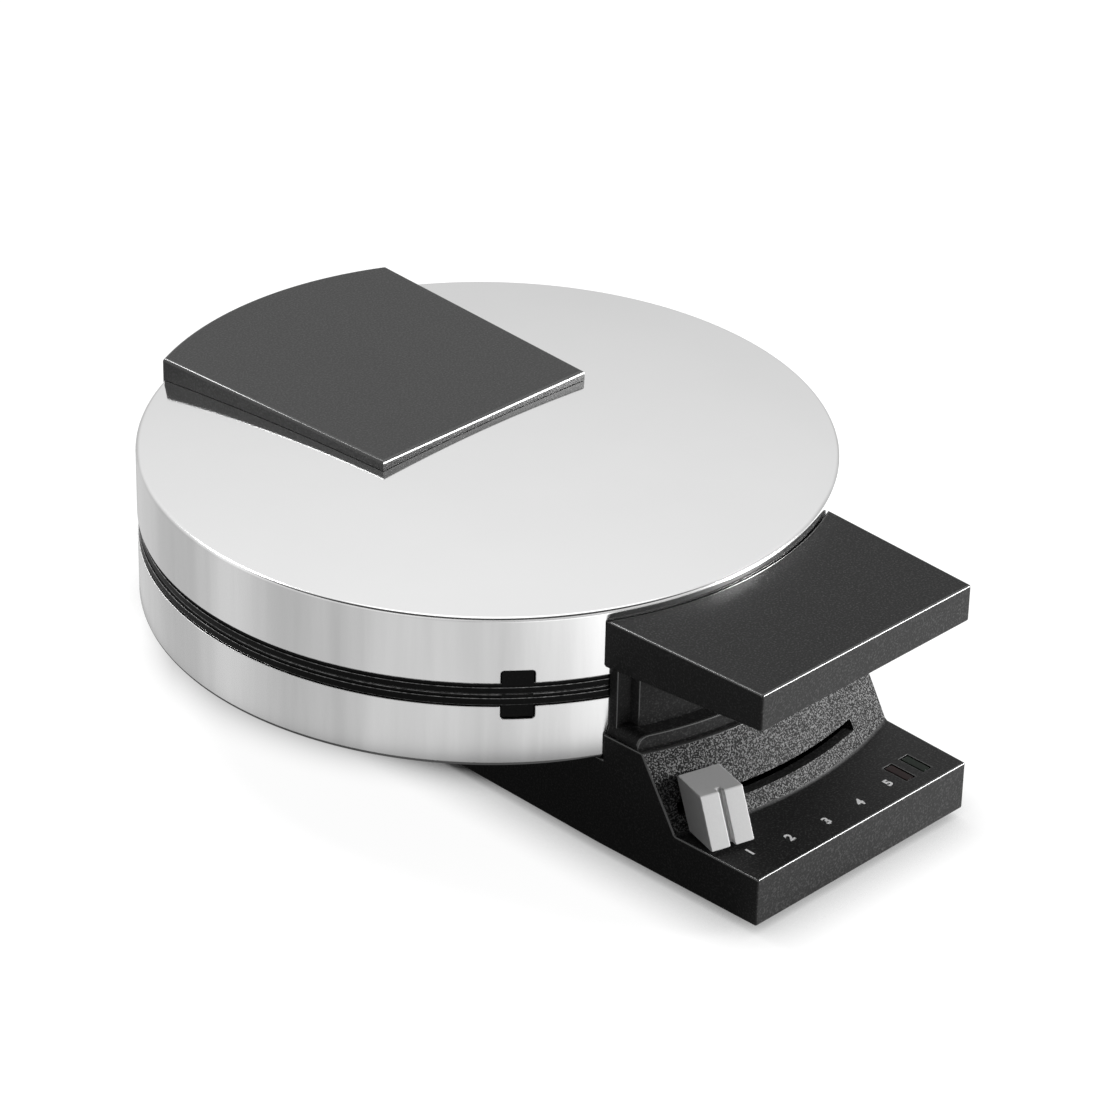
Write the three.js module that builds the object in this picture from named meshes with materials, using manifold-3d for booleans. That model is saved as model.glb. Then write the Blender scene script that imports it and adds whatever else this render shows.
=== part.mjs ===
import * as THREE from 'three';
import { mergeVertices } from 'three/addons/utils/BufferGeometryUtils.js';
import Module from 'manifold-3d';

const wasm = await Module();
wasm.setup();

// Round waffle maker, closed and standing on its feet, with its handle towards -Y.
// Millimetres, +Z up. Sizes along Z are heights above the table or thicknesses, and a radius
// or a reach is measured from the upright axis of the round shells, which every piece shares.

// Clearances
const seatGap = 0.3;
const runGap = 0.4;
const lensGap = 0.2;
const cutOverrun = 3;
const weldDistance = 0.00001;

// Stack of heights, from the table up
const footStand = 3;
const slabHeight = 14.7;
const deckRise = 12.3;
const lowerShellHeight = 18.8;
const bandHeight = 7.2;
const lidWallHeight = 18.5;
const domeRise = 4.4;

// Pressed steel shells
const shellRadius = 98.5;
const shellWall = 0.8;
const rimRadius = 1.4;
const shellCableHoleRadius = 9;

// Cast grid plates
const waffleDepth = 6.5;
const plateFloor = 3;
const fieldInset = 16;
const fieldDraft = 1.5;
const innerLandWidth = 3.5;
const drainWidth = 4.5;
const drainDepth = 2;
const plateEdgeInset = 0.3;
const plateStep = 0.4;
const upperStepDepth = 2.2;
const lowerStepDepth = 1.1;
const rimFlangeDepth = 3.3;
const rimFlangeWidth = 1.8;
const drainWallThick = 2.6;
const pegPitch = 14.5;
const pegBase = 10.4;
const pegTop = 8.4;
const pegHeight = 4;
const pegSink = 1;
const pegsPerQuarterSide = 5;
const dividerBase = 4.4;
const dividerTop = 1.8;
const dividerClear = 1.2;

// Lugs of the plates that lock the shells, seen through notches in the shell edges
const lugAngle = 39.7;
const lugWidth = 8.7;
const lugHeight = 3.9;
const lugInset = 0.6;
const lugThick = 4;
const lugCorner = 1;

// Tubular heating elements and reflectors
const elementRadius = 3.2;
const elementInset = 18;
const elementGapAngle = 24;
const elementBend = 6.4;
const elementPinLength = 5;
const reflectorThick = 0.6;
const reflectorInset = 2.5;
const reflectorDishWidth = 7;
const reflectorDishHeight = 5;
const bossLength = 7.5;
const bossRadius = 4.5;
const bossInset = 12.5;
const bossSpread = 25;

// Base housing: bar, deck, control panel and neck. A size ending in Out is how far a piece
// stands out beyond the shells, and a taper is how far it stays inside the bar's half width.
const housingWall = 2.5;
const barHalfWidth = 43.5;
const barTaperInset = 10.5;
const barTailInset = 12.5;
const frontOut = 45.9;
const frontTaper = 1.8;
const slabEdgeRound = 0.7;
const coneRise = 20.4;
const coneFootOut = 24;
const coneTopOut = 12.5;
const coneTaper = 0.8;
const ledgeThick = 4.1;
const ledgeOut = 10.7;
const ledgeTaper = 0.9;
const ledgeCorner = 3.2;
const neckOut = 5.9;
const neckTaper = 4.8;
const flangeOut = 2.9;
const flangeTaper = 1.3;
const towerTaper = 11.5;
const coverThick = 2;
const coverBossRadius = 4;
const coverBossTaper = 9.5;
const coverBossFrontInset = 51.4;
const coverBossRearInset = 14;

// Browning control
const slotRise = 5.95;
const slotWidth = 2.8;
const slotEndInset = 3.8;
const knobEndAngle = 3.7;
const knobTravel = 24.5;
const knobWidth = 13.4;
const knobStandOff = 1.4;
const knobTopDrop = 6;
const knobTopDepth = 12;
const knobFootRise = 1.1;
const knobFootDepth = 11.6;
const pointerWidth = 1.3;
const pointerDepth = 1;
const leverThick = 1.2;
const leverWidth = 6;
const leverHubRadius = 7;
const leverBite = 5;
const spindleRadius = 2.5;
const spindleTail = 3.4;
const clipRadius = 4.6;
const clipThick = 1;

// Thermostat and small electrical pieces
const thermostatRadius = 12;
const thermostatHeight = 7;
const thermostatNeckRadius = 5;
const thermostatNeckLength = 5.5;
const thermostatSocketDepth = 8;
const lensWidth = 3;
const lensLength = 8.2;
const lensFlange = 1.2;
const lensFlangeThick = 1;
const lensFrontInset = 9.2;
const lensSideInset = 17;
const lensPitch = 6.7;
const lampRadius = 1.5;
const lampBoardWidth = 18;
const lampBoardLength = 12;
const lampBoardThick = 1.6;
const fuseRadius = 2.2;
const fuseLength = 13;
const fuseInset = 22;
const fuseY = 18;
const terminalWidth = 30;
const terminalLength = 14;
const terminalHeight = 11;
const terminalInset = 34;
const terminalSlotWidth = 3.5;
const terminalSlotDepth = 5;
const terminalPoles = 3;
const glandRadius = 5.5;
const glandBore = 3.4;
const glandFlangeRadius = 8;
const glandFlangeThick = 1.6;
const glandHeight = 14;

// Feet
const footRadius = 6;
const footDraft = 0.6;
const footNeckRadius = 2.4;
const footHeadRadius = 3.4;
const footHeadHeight = 2;
const footTaper = 10.5;
const footFrontInset = 27.4;
const footRearInset = 2;

// Lid handle and cover plate
const handleOut = 43.8;
const handleTaper = 2.4;
const handleTopDrop = 1.6;
const handleFrontThick = 11.1;
const handleRootThick = 13.75;
const handleRound = 0.8;
const handleScrewX = 22;
const handleScrewDrop = 6.5;
const handleScrewBite = 12;
const coverPlateRise = 2.4;
const coverPlateFront = 1.2;
const coverPlateTaper = 4.2;
const coverPlateSkirt = 10;
const coverPlateRound = 0.9;
const coverPlateScrewX = 24;
const coverPlateScrewInset = 22.5;
const coverPlateScrewBite = 2.6;

// Rear hinge
const hingeAxisOut = 1.2;
const knuckleRadius = 3.6;
const armHalfWidth = 15;
const armHeight = 20.3;
const armStopDrop = 5;
const pinRadius = 1.6;
const pinRun = 0.08;
const pinEndInset = 0.5;
const rivetX = 8;
const rivetRise = 12.5;

// Screws and rivets
const screwRadius = 1.6;
const screwHeadRadius = 3;
const screwHeadHeight = 1.8;
const screwHeadDome = 0.45;
const coverScrewLength = 9;

// Facets round a full circle, and along an arc
const shellFacets = 48;
const slotFacets = 10;
const ledgeFacets = 4;
const coverPlateFacets = 6;
const roundFacets = 16;
const smallFacets = 10;
const screwFacets = 8;

// Heights and places that follow from the sizes above
const housingUnder = footStand;
const slabTop = housingUnder + slabHeight;
const deckTop = slabTop + deckRise;
const lowerShellUnder = deckTop + seatGap;
const lowerShellTop = lowerShellUnder + lowerShellHeight;
const lidUnder = lowerShellTop + bandHeight;
const parting = (lowerShellTop + lidUnder) / 2;
const lidWallTop = lidUnder + lidWallHeight;
const rimTop = lidWallTop + rimRadius;
const domeRadius = shellRadius - rimRadius;
const domeTop = rimTop + domeRise;
const deckUnder = deckTop - housingWall;
const coneTop = slabTop + coneRise;
const ledgeTop = coneTop + ledgeThick;
const handleTop = lidWallTop - handleTopDrop;
const coverPlateTop = domeTop + coverPlateRise;
const coverTop = housingUnder + coverThick;
const slotMid = slabTop + slotRise;
const plateUnder = waffleDepth + plateFloor;
const reflectorFrom = plateUnder + bossLength + seatGap;

const shellRoomRadius = shellRadius + seatGap;
const fieldRadius = shellRadius - fieldInset;
const bossRing = fieldRadius - bossInset;
const elementLoopRadius = bossRing - elementInset;
const reflectorRadius = fieldRadius - reflectorInset;
const frontReach = shellRadius + frontOut;
const frontHalfWidth = barHalfWidth - frontTaper;
const barFullReach = shellRadius - barTaperInset;
const barTailReach = shellRadius - barTailInset;
const coneFootRadius = shellRadius + coneFootOut;
const coneTopRadius = shellRadius + coneTopOut;
const coneHalfWidth = barHalfWidth - coneTaper;
const ledgeRadius = shellRadius + ledgeOut;
const ledgeHalfWidth = barHalfWidth - ledgeTaper;
const neckRadius = shellRadius + neckOut;
const neckHalfWidth = barHalfWidth - neckTaper;
const flangeRadius = shellRadius + flangeOut;
const flangeHalfWidth = barHalfWidth - flangeTaper;
const towerHalfWidth = barHalfWidth - towerTaper;
const handleReach = shellRadius + handleOut;
const handleFrontHalfWidth = barHalfWidth - handleTaper;
const hingeAxisReach = shellRadius + hingeAxisOut;
const hingeReach = hingeAxisReach + knuckleRadius;
const lensReach = frontReach - lensFrontInset;
const lensFirstX = frontHalfWidth - lensSideInset;
const bodyShift = (frontReach - hingeReach) / 2;

const slotEndX = coneHalfWidth - slotEndInset;
const slotFrom = -THREE.MathUtils.radToDeg(Math.asin(slotEndX / coneRadiusAt(slotMid)));
const knobAngle = slotFrom + knobEndAngle;
const slotTo = knobAngle + knobTravel + knobEndAngle;
const bossPlaces = [90, 270 - bossSpread, 270 + bossSpread].map((angle) => onCircle(bossRing, angle));

// Helpers for solids

function radians(degrees) {
  return THREE.MathUtils.degToRad(degrees);
}

function onCircle(radius, degrees) {
  return new THREE.Vector2(radius * Math.cos(radians(degrees)), radius * Math.sin(radians(degrees)));
}

// A closed three.js mesh becomes a solid that can be joined and cut.
function solid(geometry) {
  const bare = new THREE.BufferGeometry();
  bare.setAttribute('position', geometry.attributes.position.clone());
  if (geometry.index) bare.setIndex(geometry.index.clone());
  const merged = mergeVertices(bare, weldDistance);
  const index = merged.index.array;
  const kept = [];
  for (let i = 0; i < index.length; i += 3) {
    const [a, b, c] = [index[i], index[i + 1], index[i + 2]];
    if (a !== b && b !== c && c !== a) kept.push(a, b, c);
  }
  return new wasm.Manifold(new wasm.Mesh({
    numProp: 3,
    vertProperties: new Float32Array(merged.attributes.position.array),
    triVerts: new Uint32Array(kept),
  }));
}

function geometryOf(body) {
  const cut = body.getMesh();
  const geometry = new THREE.BufferGeometry();
  geometry.setAttribute('position', new THREE.BufferAttribute(new Float32Array(cut.vertProperties), 3));
  geometry.setIndex(new THREE.BufferAttribute(new Uint32Array(cut.triVerts), 1));
  geometry.computeVertexNormals();
  return geometry;
}

function counterClockwise(points) {
  return THREE.ShapeUtils.isClockWise(points) ? [...points].reverse() : points;
}

function points2(list) {
  return list.map(([x, y]) => new THREE.Vector2(x, y));
}

// A section of radius and height turned about the upright axis.
function turned(section, facets = shellFacets) {
  const points = counterClockwise(points2(section));
  const onAxis = (i) => points[(i + points.length) % points.length].x === 0;
  const start = points.findIndex((_, i) => onAxis(i) && onAxis(i - 1));
  const first = Math.max(start, 0);
  const ordered = [...points.slice(first), ...points.slice(0, first)];
  if (start < 0) ordered.push(points[0]);
  return solid(new THREE.LatheGeometry(ordered, facets).rotateX(Math.PI / 2));
}

// A plan outline raised from one height to another, with rounded top and bottom edges if asked.
function raised(outline, from, to, round = 0, curveSteps = 8) {
  const shape = outline instanceof THREE.Shape ? outline : new THREE.Shape(points2(outline));
  const geometry = new THREE.ExtrudeGeometry(shape, {
    depth: to - from - 2 * round,
    bevelEnabled: round > 0,
    bevelThickness: round,
    bevelSize: round,
    bevelOffset: -round,
    bevelSegments: 1,
    curveSegments: curveSteps,
  });
  return solid(geometry.translate(0, 0, from + round));
}

// A side outline of (y, z) points widened to both sides of x = 0.
function widened(outline, halfWidth) {
  const geometry = new THREE.ExtrudeGeometry(new THREE.Shape(points2(outline)), {
    depth: 2 * halfWidth,
    bevelEnabled: false,
  });
  const turn = new THREE.Matrix4().makeBasis(
    new THREE.Vector3(0, 1, 0), new THREE.Vector3(0, 0, 1), new THREE.Vector3(1, 0, 0));
  return solid(geometry.applyMatrix4(turn).translate(-halfWidth, 0, 0));
}

function block([x0, x1], [y0, y1], [z0, z1]) {
  const geometry = new THREE.BoxGeometry(x1 - x0, y1 - y0, z1 - z0);
  return solid(geometry.translate((x0 + x1) / 2, (y0 + y1) / 2, (z0 + z1) / 2));
}

function post(radius, from, to, x = 0, y = 0, facets = smallFacets) {
  const geometry = new THREE.CylinderGeometry(radius, radius, to - from, facets).rotateX(Math.PI / 2);
  return solid(geometry.translate(x, y, (from + to) / 2));
}

function crossRod(radius, x0, x1, y, z, facets = roundFacets) {
  const geometry = new THREE.CylinderGeometry(radius, radius, x1 - x0, facets).rotateZ(Math.PI / 2);
  return solid(geometry.translate((x0 + x1) / 2, y, z));
}

function lengthwiseRod(radius, y0, y1, x, z, facets = smallFacets) {
  const geometry = new THREE.CylinderGeometry(radius, radius, y1 - y0, facets);
  return solid(geometry.translate(x, (y0 + y1) / 2, z));
}

function joined(bodies) {
  return bodies.reduce((sum, body) => sum.add(body));
}

function without(body, cuts) {
  return cuts.reduce((rest, cut) => rest.subtract(cut), body);
}

// The same shape with its height turned over: the upper plate is the lower one upside down.
function turnedOver(body) {
  const geometry = geometryOf(body);
  geometry.scale(1, 1, -1);
  const index = geometry.index.array;
  for (let i = 0; i < index.length; i += 3) [index[i], index[i + 1]] = [index[i + 1], index[i]];
  return solid(geometry);
}

function both(make) {
  return [make(-1), make(1)];
}

// Materials, one for each finish
function finish(color, roughness, metalness) {
  return { color, roughness, metalness };
}
const steelFinish = finish(0xd9dadb, 0.2, 1);
const blackPlastic = finish(0x1b1b1c, 0.5, 0);
const nonStick = finish(0x161617, 0.6, 0.2);
const elementSheath = finish(0x6e6a64, 0.5, 1);
const platedSteel = finish(0xb5b7b8, 0.35, 1);
const greyPlastic = finish(0xb4b6b8, 0.4, 0);
const rubberFinish = finish(0x101010, 0.9, 0);
const redLens = finish(0x3a0d0c, 0.2, 0);
const greenLens = finish(0x0f2a14, 0.2, 0);
const lampGlass = finish(0xcfd3d6, 0.1, 0);
const whiteCeramic = finish(0xe6e2d8, 0.6, 0);

const waffleMaker = new THREE.Group();
const base = new THREE.Group();
const lid = new THREE.Group();
const control = new THREE.Group();
waffleMaker.add(base, lid, control);
waffleMaker.position.y = bodyShift;

function place(parent, name, body, look, x = 0, y = 0, z = 0) {
  const mesh = new THREE.Mesh(geometryOf(body), new THREE.MeshStandardMaterial(look));
  mesh.name = name;
  mesh.position.set(x, y, z);
  parent.add(mesh);
  return mesh;
}

// Shared forms: the room of the hinge, the underside of the handle and the lid's outside

function hingeRoom(height) {
  const half = towerHalfWidth + runGap;
  return crossRod(knuckleRadius + runGap, -half, half, hingeAxisReach, height);
}

// How far back the round room for the shells reaches at a distance from the middle
function shellRoomAt(x) {
  return Math.sqrt(shellRoomRadius ** 2 - x ** 2);
}

// A disc that clears the shells, from one height to another
function shellRoom(from, to) {
  return turned([[0, from], [shellRoomRadius, from], [shellRoomRadius, to], [0, to]]);
}

// Where the head of a screw or rivet sits against the inside of the round wall
function wallSeatAt(x) {
  return Math.sqrt((shellRadius - shellWall) ** 2 - (Math.abs(x) + screwHeadRadius) ** 2) - seatGap;
}

function handleUnderAt(y) {
  const slope = (handleRootThick - handleFrontThick) / (handleReach - shellRadius);
  return handleTop - handleFrontThick - slope * (y + handleReach);
}

function underHandle(drop) {
  const front = -handleReach - cutOverrun;
  return widened([
    [front, -cutOverrun],
    [0, -cutOverrun],
    [0, handleUnderAt(0) - drop],
    [front, handleUnderAt(front) - drop],
  ], barHalfWidth + cutOverrun);
}

function domeHeight(radius) {
  return rimTop + domeRise * (1 - (radius / domeRadius) ** 2);
}

// The lid's outer skin, moved inwards or outwards by an offset, from the middle to its lower edge.
function lidSkin(offset, under, domeShares = [0, 0.4, 0.75, 1], cornerAngles = [50, 25, 0]) {
  const dome = domeShares.map((share) => [domeRadius * share, domeHeight(domeRadius * share) + offset]);
  const corner = cornerAngles.map((angle) => {
    const round = rimRadius + offset;
    const at = onCircle(round, angle);
    return [domeRadius + at.x, lidWallTop + at.y];
  });
  return [...dome, ...corner, [shellRadius + offset, under]];
}

// Notch in a shell edge round each lug, with rounded corners
function lugNotches(from, to) {
  const half = lugWidth / 2 + seatGap;
  const shape = new THREE.Shape();
  shape.moveTo(-half, from + lugCorner);
  shape.absarc(-half + lugCorner, from + lugCorner, lugCorner, Math.PI, 1.5 * Math.PI);
  shape.absarc(half - lugCorner, from + lugCorner, lugCorner, 1.5 * Math.PI, 2 * Math.PI);
  shape.absarc(half - lugCorner, to - lugCorner, lugCorner, 0, 0.5 * Math.PI);
  shape.absarc(-half + lugCorner, to - lugCorner, lugCorner, 0.5 * Math.PI, Math.PI);
  return lugBodies(() => {
    const geometry = new THREE.ExtrudeGeometry(shape, {
      depth: lugThick + cutOverrun,
      bevelEnabled: false,
      curveSegments: 2,
    });
    return geometry.rotateX(Math.PI / 2).translate(0, -shellRadius + lugThick, 0);
  });
}

function lugBodies(make) {
  const angles = [-lugAngle, lugAngle, 180 - lugAngle, 180 + lugAngle];
  return angles.map((angle) => solid(make().rotateZ(radians(angle))));
}

// Grid plate, face up, with the parting plane at height zero. Its edge has one small step:
// outwards going down on the lower plate, and a lip next to the parting on the upper one.
function gridPlate(stepDepth, lip) {
  const gap = seatGap / 2;
  const landRadius = fieldRadius + fieldDraft + innerLandWidth;
  const edge = shellRadius - plateEdgeInset;
  const [nearEdge, farEdge] = lip ? [edge, edge - plateStep] : [edge - plateStep, edge];
  const underEdge = edge - rimFlangeWidth;
  const drainIn = landRadius + drainDepth / 2;
  const drainOut = landRadius + drainWidth;
  const casting = turned([
    [0, -waffleDepth],
    [fieldRadius, -waffleDepth],
    [fieldRadius + fieldDraft, -gap],
    [landRadius, -gap],
    [drainIn, -drainDepth],
    [drainOut, -drainDepth],
    [drainOut + drainDepth / 2, -gap],
    [nearEdge, -gap],
    [nearEdge, -stepDepth],
    [farEdge, -stepDepth],
    [farEdge, -rimFlangeDepth],
    [underEdge, -rimFlangeDepth],
    [drainOut, -drainDepth - drainWallThick],
    [drainIn, -drainDepth - drainWallThick],
    [fieldRadius + fieldDraft + plateFloor / 2, -plateUnder],
    [0, -plateUnder],
  ]);
  const pegs = [];
  const pegGeometry = () => {
    const half = Math.SQRT1_2;
    const sunk = pegBase + (pegBase - pegTop) * pegSink / pegHeight;
    const frustum = new THREE.CylinderGeometry(pegTop * half, sunk * half, pegHeight + pegSink, 4);
    return frustum.rotateY(Math.PI / 4).rotateX(Math.PI / 2);
  };
  const firstPeg = dividerBase / 2 + pegPitch / 2;
  for (let i = 0; i < pegsPerQuarterSide; i += 1) {
    for (let j = 0; j < pegsPerQuarterSide; j += 1) {
      const x = firstPeg + i * pegPitch;
      const y = firstPeg + j * pegPitch;
      if (Math.hypot(x + pegBase / 2, y + pegBase / 2) > fieldRadius) continue;
      const z = -waffleDepth + (pegHeight - pegSink) / 2;
      for (const [sx, sy] of [[1, 1], [-1, 1], [1, -1], [-1, -1]]) {
        pegs.push(solid(pegGeometry().translate(sx * x, sy * y, z)));
      }
    }
  }
  const dividerOutline = [
    [-dividerBase / 2, -waffleDepth - pegSink],
    [dividerBase / 2, -waffleDepth - pegSink],
    [dividerTop / 2, -dividerClear],
    [-dividerTop / 2, -dividerClear],
  ];
  const divider = widened(dividerOutline, fieldRadius + fieldDraft / 2);
  const crossDivider = divider.rotate([0, 0, 90]);
  const bossUnder = -plateUnder - bossLength;
  const bosses = bossPlaces.map((p) => post(bossRadius, bossUnder, -plateUnder + pegSink, p.x, p.y));
  const lugs = lugBodies(() => {
    const box = new THREE.BoxGeometry(lugWidth, lugThick, rimFlangeDepth + lugHeight - gap);
    const reach = shellRadius - lugInset - lugThick / 2;
    return box.translate(0, -reach, -(rimFlangeDepth + lugHeight + gap) / 2);
  });
  const screwRooms = bossPlaces.map((p) => post(
    screwRadius + seatGap, bossUnder - cutOverrun, -plateUnder + plateFloor / 2 - seatGap, p.x, p.y));
  const plate = joined([casting, ...pegs, divider, crossDivider, ...bosses, ...lugs]);
  return without(plate, [hingeRoom(0), ...screwRooms]);
}

// Tubular element: a loop open at the rear, whose two ends turn outwards as terminal pins
function heatingElement() {
  const pinTurnShare = 0.8;
  const z = -plateUnder - seatGap - elementRadius;
  const from = 90 + elementGapAngle / 2;
  const sweep = 360 - elementGapAngle;
  const loopSteps = 28;
  const pinSteps = 8;
  const path = [];
  for (let i = 0; i <= loopSteps; i += 1) {
    const at = onCircle(elementLoopRadius, from + sweep * i / loopSteps);
    path.push(new THREE.Vector3(at.x, at.y, z));
  }
  const alongLoop = new THREE.Vector3(Math.sin(radians(from)), -Math.cos(radians(from)), 0);
  const outwards = alongLoop.lerp(new THREE.Vector3(0, 1, 0), pinTurnShare).normalize();
  const pinReaches = [elementBend + elementPinLength, elementBend];
  const pins = pinReaches.map((reach) => path[0].clone().addScaledVector(outwards, reach));
  const mirrored = [...pins].reverse().map((p) => new THREE.Vector3(-p.x, p.y, p.z));
  const section = new THREE.Shape();
  section.absarc(0, 0, elementRadius, 0, 2 * Math.PI);
  return solid(new THREE.ExtrudeGeometry(section, {
    extrudePath: new THREE.CatmullRomCurve3([...pins, ...path, ...mirrored]),
    steps: loopSteps + pinSteps,
    curveSegments: 3,
    bevelEnabled: false,
  }));
}

// Pressed reflector dish under the element, with a hole in the middle if a piece passes it
function reflector(holeRadius) {
  const from = -reflectorFrom;
  const dish = turned([
    [0, from],
    [reflectorRadius, from],
    [reflectorRadius + reflectorDishWidth, from + reflectorDishHeight],
    [reflectorRadius + reflectorDishWidth + reflectorThick, from + reflectorDishHeight],
    [reflectorRadius + reflectorThick / 2, from - reflectorThick],
    [0, from - reflectorThick],
  ], shellFacets / 2);
  const holes = bossPlaces.map((p) => post(
    screwRadius + seatGap, from - reflectorThick - cutOverrun, from + cutOverrun, p.x, p.y));
  if (holeRadius === 0) return without(dish, holes);
  return without(dish, [...holes, post(holeRadius, from - cutOverrun, from + cutOverrun, 0, 0, roundFacets)]);
}

// Pan head screw standing on its head, from the underside of the head upwards
function screw(shankLength) {
  return turned([
    [0, -screwHeadHeight],
    [screwHeadRadius - screwHeadDome, -screwHeadHeight],
    [screwHeadRadius, 0],
    [screwRadius, 0],
    [screwRadius, shankLength],
    [0, shankLength],
  ], screwFacets);
}

// Base housing

function barOutline(inset) {
  const half = [
    [frontHalfWidth - inset, -frontReach + inset],
    [barHalfWidth - inset, -barFullReach],
    [barHalfWidth - inset, barTailReach - inset],
    [towerHalfWidth - inset, hingeReach - inset],
  ];
  return [...half, ...half.map(([x, y]) => [-x, y]).reverse()];
}

function coneRadiusAt(height) {
  const share = (coneTop - height) / (coneTop - slabTop);
  return coneTopRadius + (coneFootRadius - coneTopRadius) * share;
}

// A block that runs back from the front, with a round shoulder along each top side
function roundShouldered(halfWidth, from, to, corner) {
  const x = halfWidth - corner;
  const shape = new THREE.Shape();
  shape.moveTo(-halfWidth, from);
  shape.lineTo(halfWidth, from);
  shape.absarc(x, to - corner, corner, 0, Math.PI / 2);
  shape.absarc(-x, to - corner, corner, Math.PI / 2, Math.PI);
  return raised(shape, 0, frontReach, 0, ledgeFacets).rotate([90, 0, 0]);
}

function ringSector(from, to, inner, outer) {
  const shape = new THREE.Shape();
  shape.absarc(0, 0, outer, radians(from - 90), radians(to - 90));
  shape.absarc(0, 0, inner, radians(to - 90), radians(from - 90), true);
  return shape;
}

function baseHousing() {
  const room = shellRoom(deckTop, domeTop);
  const frontHalf = (halfWidth, top) => block(
    [-halfWidth, halfWidth], [-frontReach - cutOverrun, 0], [housingUnder, top]);
  const slab = raised(barOutline(0), housingUnder, slabTop, slabEdgeRound);
  const deck = raised(barOutline(0), slabTop - housingWall, deckTop).intersect(
    turned([[0, 0], [coneTopRadius, 0], [coneTopRadius, deckTop], [0, deckTop]]));
  const cone = turned([
    [0, housingUnder + housingWall],
    [coneRadiusAt(slabTop - slabEdgeRound), housingUnder + housingWall],
    [coneRadiusAt(slabTop - slabEdgeRound), slabTop - slabEdgeRound],
    [coneTopRadius, coneTop],
    [0, coneTop],
  ]).intersect(frontHalf(coneHalfWidth, coneTop));
  const ledgeUnder = coneTop - housingWall;
  const ledge = turned([
    [0, ledgeUnder],
    [ledgeRadius, ledgeUnder],
    [ledgeRadius, ledgeTop - slabEdgeRound],
    [ledgeRadius - slabEdgeRound, ledgeTop],
    [0, ledgeTop],
  ]).intersect(roundShouldered(ledgeHalfWidth, ledgeUnder, ledgeTop, ledgeCorner));
  const disc = (radius) => turned([
    [0, coneTop], [radius, coneTop], [radius, handleTop], [0, handleTop],
  ]);
  const neck = disc(neckRadius).intersect(frontHalf(neckHalfWidth, handleTop));
  const flange = disc(flangeRadius).intersect(frontHalf(flangeHalfWidth, handleTop));
  const front = joined([cone, ledge, neck, flange]).subtract(room).intersect(underHandle(seatGap));

  const towerDepth = [shellRoomAt(towerHalfWidth), hingeReach];
  const earWidths = [armHalfWidth + runGap, towerHalfWidth];
  const earSpan = (side) => earWidths.map((x) => side * x).sort((a, b) => a - b);
  const tower = joined([
    block([-towerHalfWidth, towerHalfWidth], towerDepth, [slabTop, parting - armStopDrop]),
    ...both((side) => block(earSpan(side), towerDepth, [slabTop, parting])),
  ]).subtract(room);
  const ears = both((side) => crossRod(knuckleRadius, ...earSpan(side), hingeAxisReach, parting));
  const outer = joined([slab, deck, front, tower, ...ears]);

  const coneSlant = Math.hypot(coneFootRadius - coneTopRadius, coneTop - slabTop);
  const coneWall = housingWall * coneSlant / (coneTop - slabTop);
  const slabRoom = raised(barOutline(housingWall), housingUnder - cutOverrun, slabTop - housingWall);
  const underDeck = turned([
    [0, housingUnder],
    [coneRadiusAt(slabTop) - coneWall, housingUnder],
    [coneRadiusAt(slabTop) - coneWall, slabTop],
    [coneRadiusAt(deckUnder) - coneWall, deckUnder],
    [0, deckUnder],
  ]).intersect(raised(barOutline(housingWall), housingUnder, deckUnder));
  const underLedge = turned([
    [shellRoomRadius + housingWall, slabTop],
    [coneRadiusAt(slabTop) - coneWall, slabTop],
    [coneRadiusAt(coneTop - housingWall / 2) - coneWall, coneTop - housingWall / 2],
    [shellRoomRadius + housingWall, coneTop - housingWall / 2],
  ]).intersect(frontHalf(ledgeHalfWidth - housingWall, coneTop));

  const slotArc = ringSector(slotFrom, slotTo, neckRadius, frontReach);
  const slot = raised(slotArc, slotMid - slotWidth / 2, slotMid + slotWidth / 2, 0, slotFacets);
  const windows = [0, 1].map((i) => {
    const x = lensFirstX + i * lensPitch;
    const [w, l] = [lensWidth / 2 + lensGap, lensLength / 2 + lensGap];
    const heights = [slabTop - 2 * housingWall, slabTop + cutOverrun];
    return block([x - w, x + w], [-lensReach - l, -lensReach + l], heights);
  });
  const [low, high] = [deckUnder - cutOverrun, deckTop + cutOverrun];
  const spindleHole = post(spindleRadius + thermostatNeckRadius, low, high);
  const screwHoles = bossPlaces.map((p) => post(screwRadius + seatGap, low, high, p.x, p.y));
  const [rearFrom, rearTo] = [hingeReach - housingWall - cutOverrun, hingeReach + cutOverrun];
  const glandHole = lengthwiseRod(
    glandRadius + seatGap, rearFrom, rearTo, 0, housingUnder + glandHeight, roundFacets);

  const shell = without(outer, [
    slabRoom, underDeck, underLedge, slot, ...windows, spindleHole, ...screwHoles, glandHole,
    pinHole(towerHalfWidth),
  ]);
  const bosses = coverBossPlaces().map(([x, y]) => post(
    coverBossRadius, coverTop + seatGap, deckTop - housingWall / 2, x, y));
  const bossHoles = coverBossPlaces().map(([x, y]) => post(
    screwRadius + seatGap, housingUnder, coverTop + coverScrewLength, x, y));
  return without(joined([shell, ...bosses]), bossHoles);
}

function pinHole(halfWidth) {
  const half = halfWidth + cutOverrun;
  return crossRod(pinRadius + pinRun, -half, half, hingeAxisReach, parting);
}

// The four places, left and right, near the front edge and near the tail of the bar
function barCorners(taper, frontInset, rearInset) {
  const x = barHalfWidth - taper;
  const [front, rear] = [-frontReach + frontInset, barTailReach - rearInset];
  return [[-x, front], [x, front], [-x, rear], [x, rear]];
}

function coverBossPlaces() {
  return barCorners(coverBossTaper, coverBossFrontInset, coverBossRearInset);
}

function footPlaces() {
  return barCorners(footTaper, footFrontInset, footRearInset);
}

place(base, 'base_housing', baseHousing(), blackPlastic);

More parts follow.
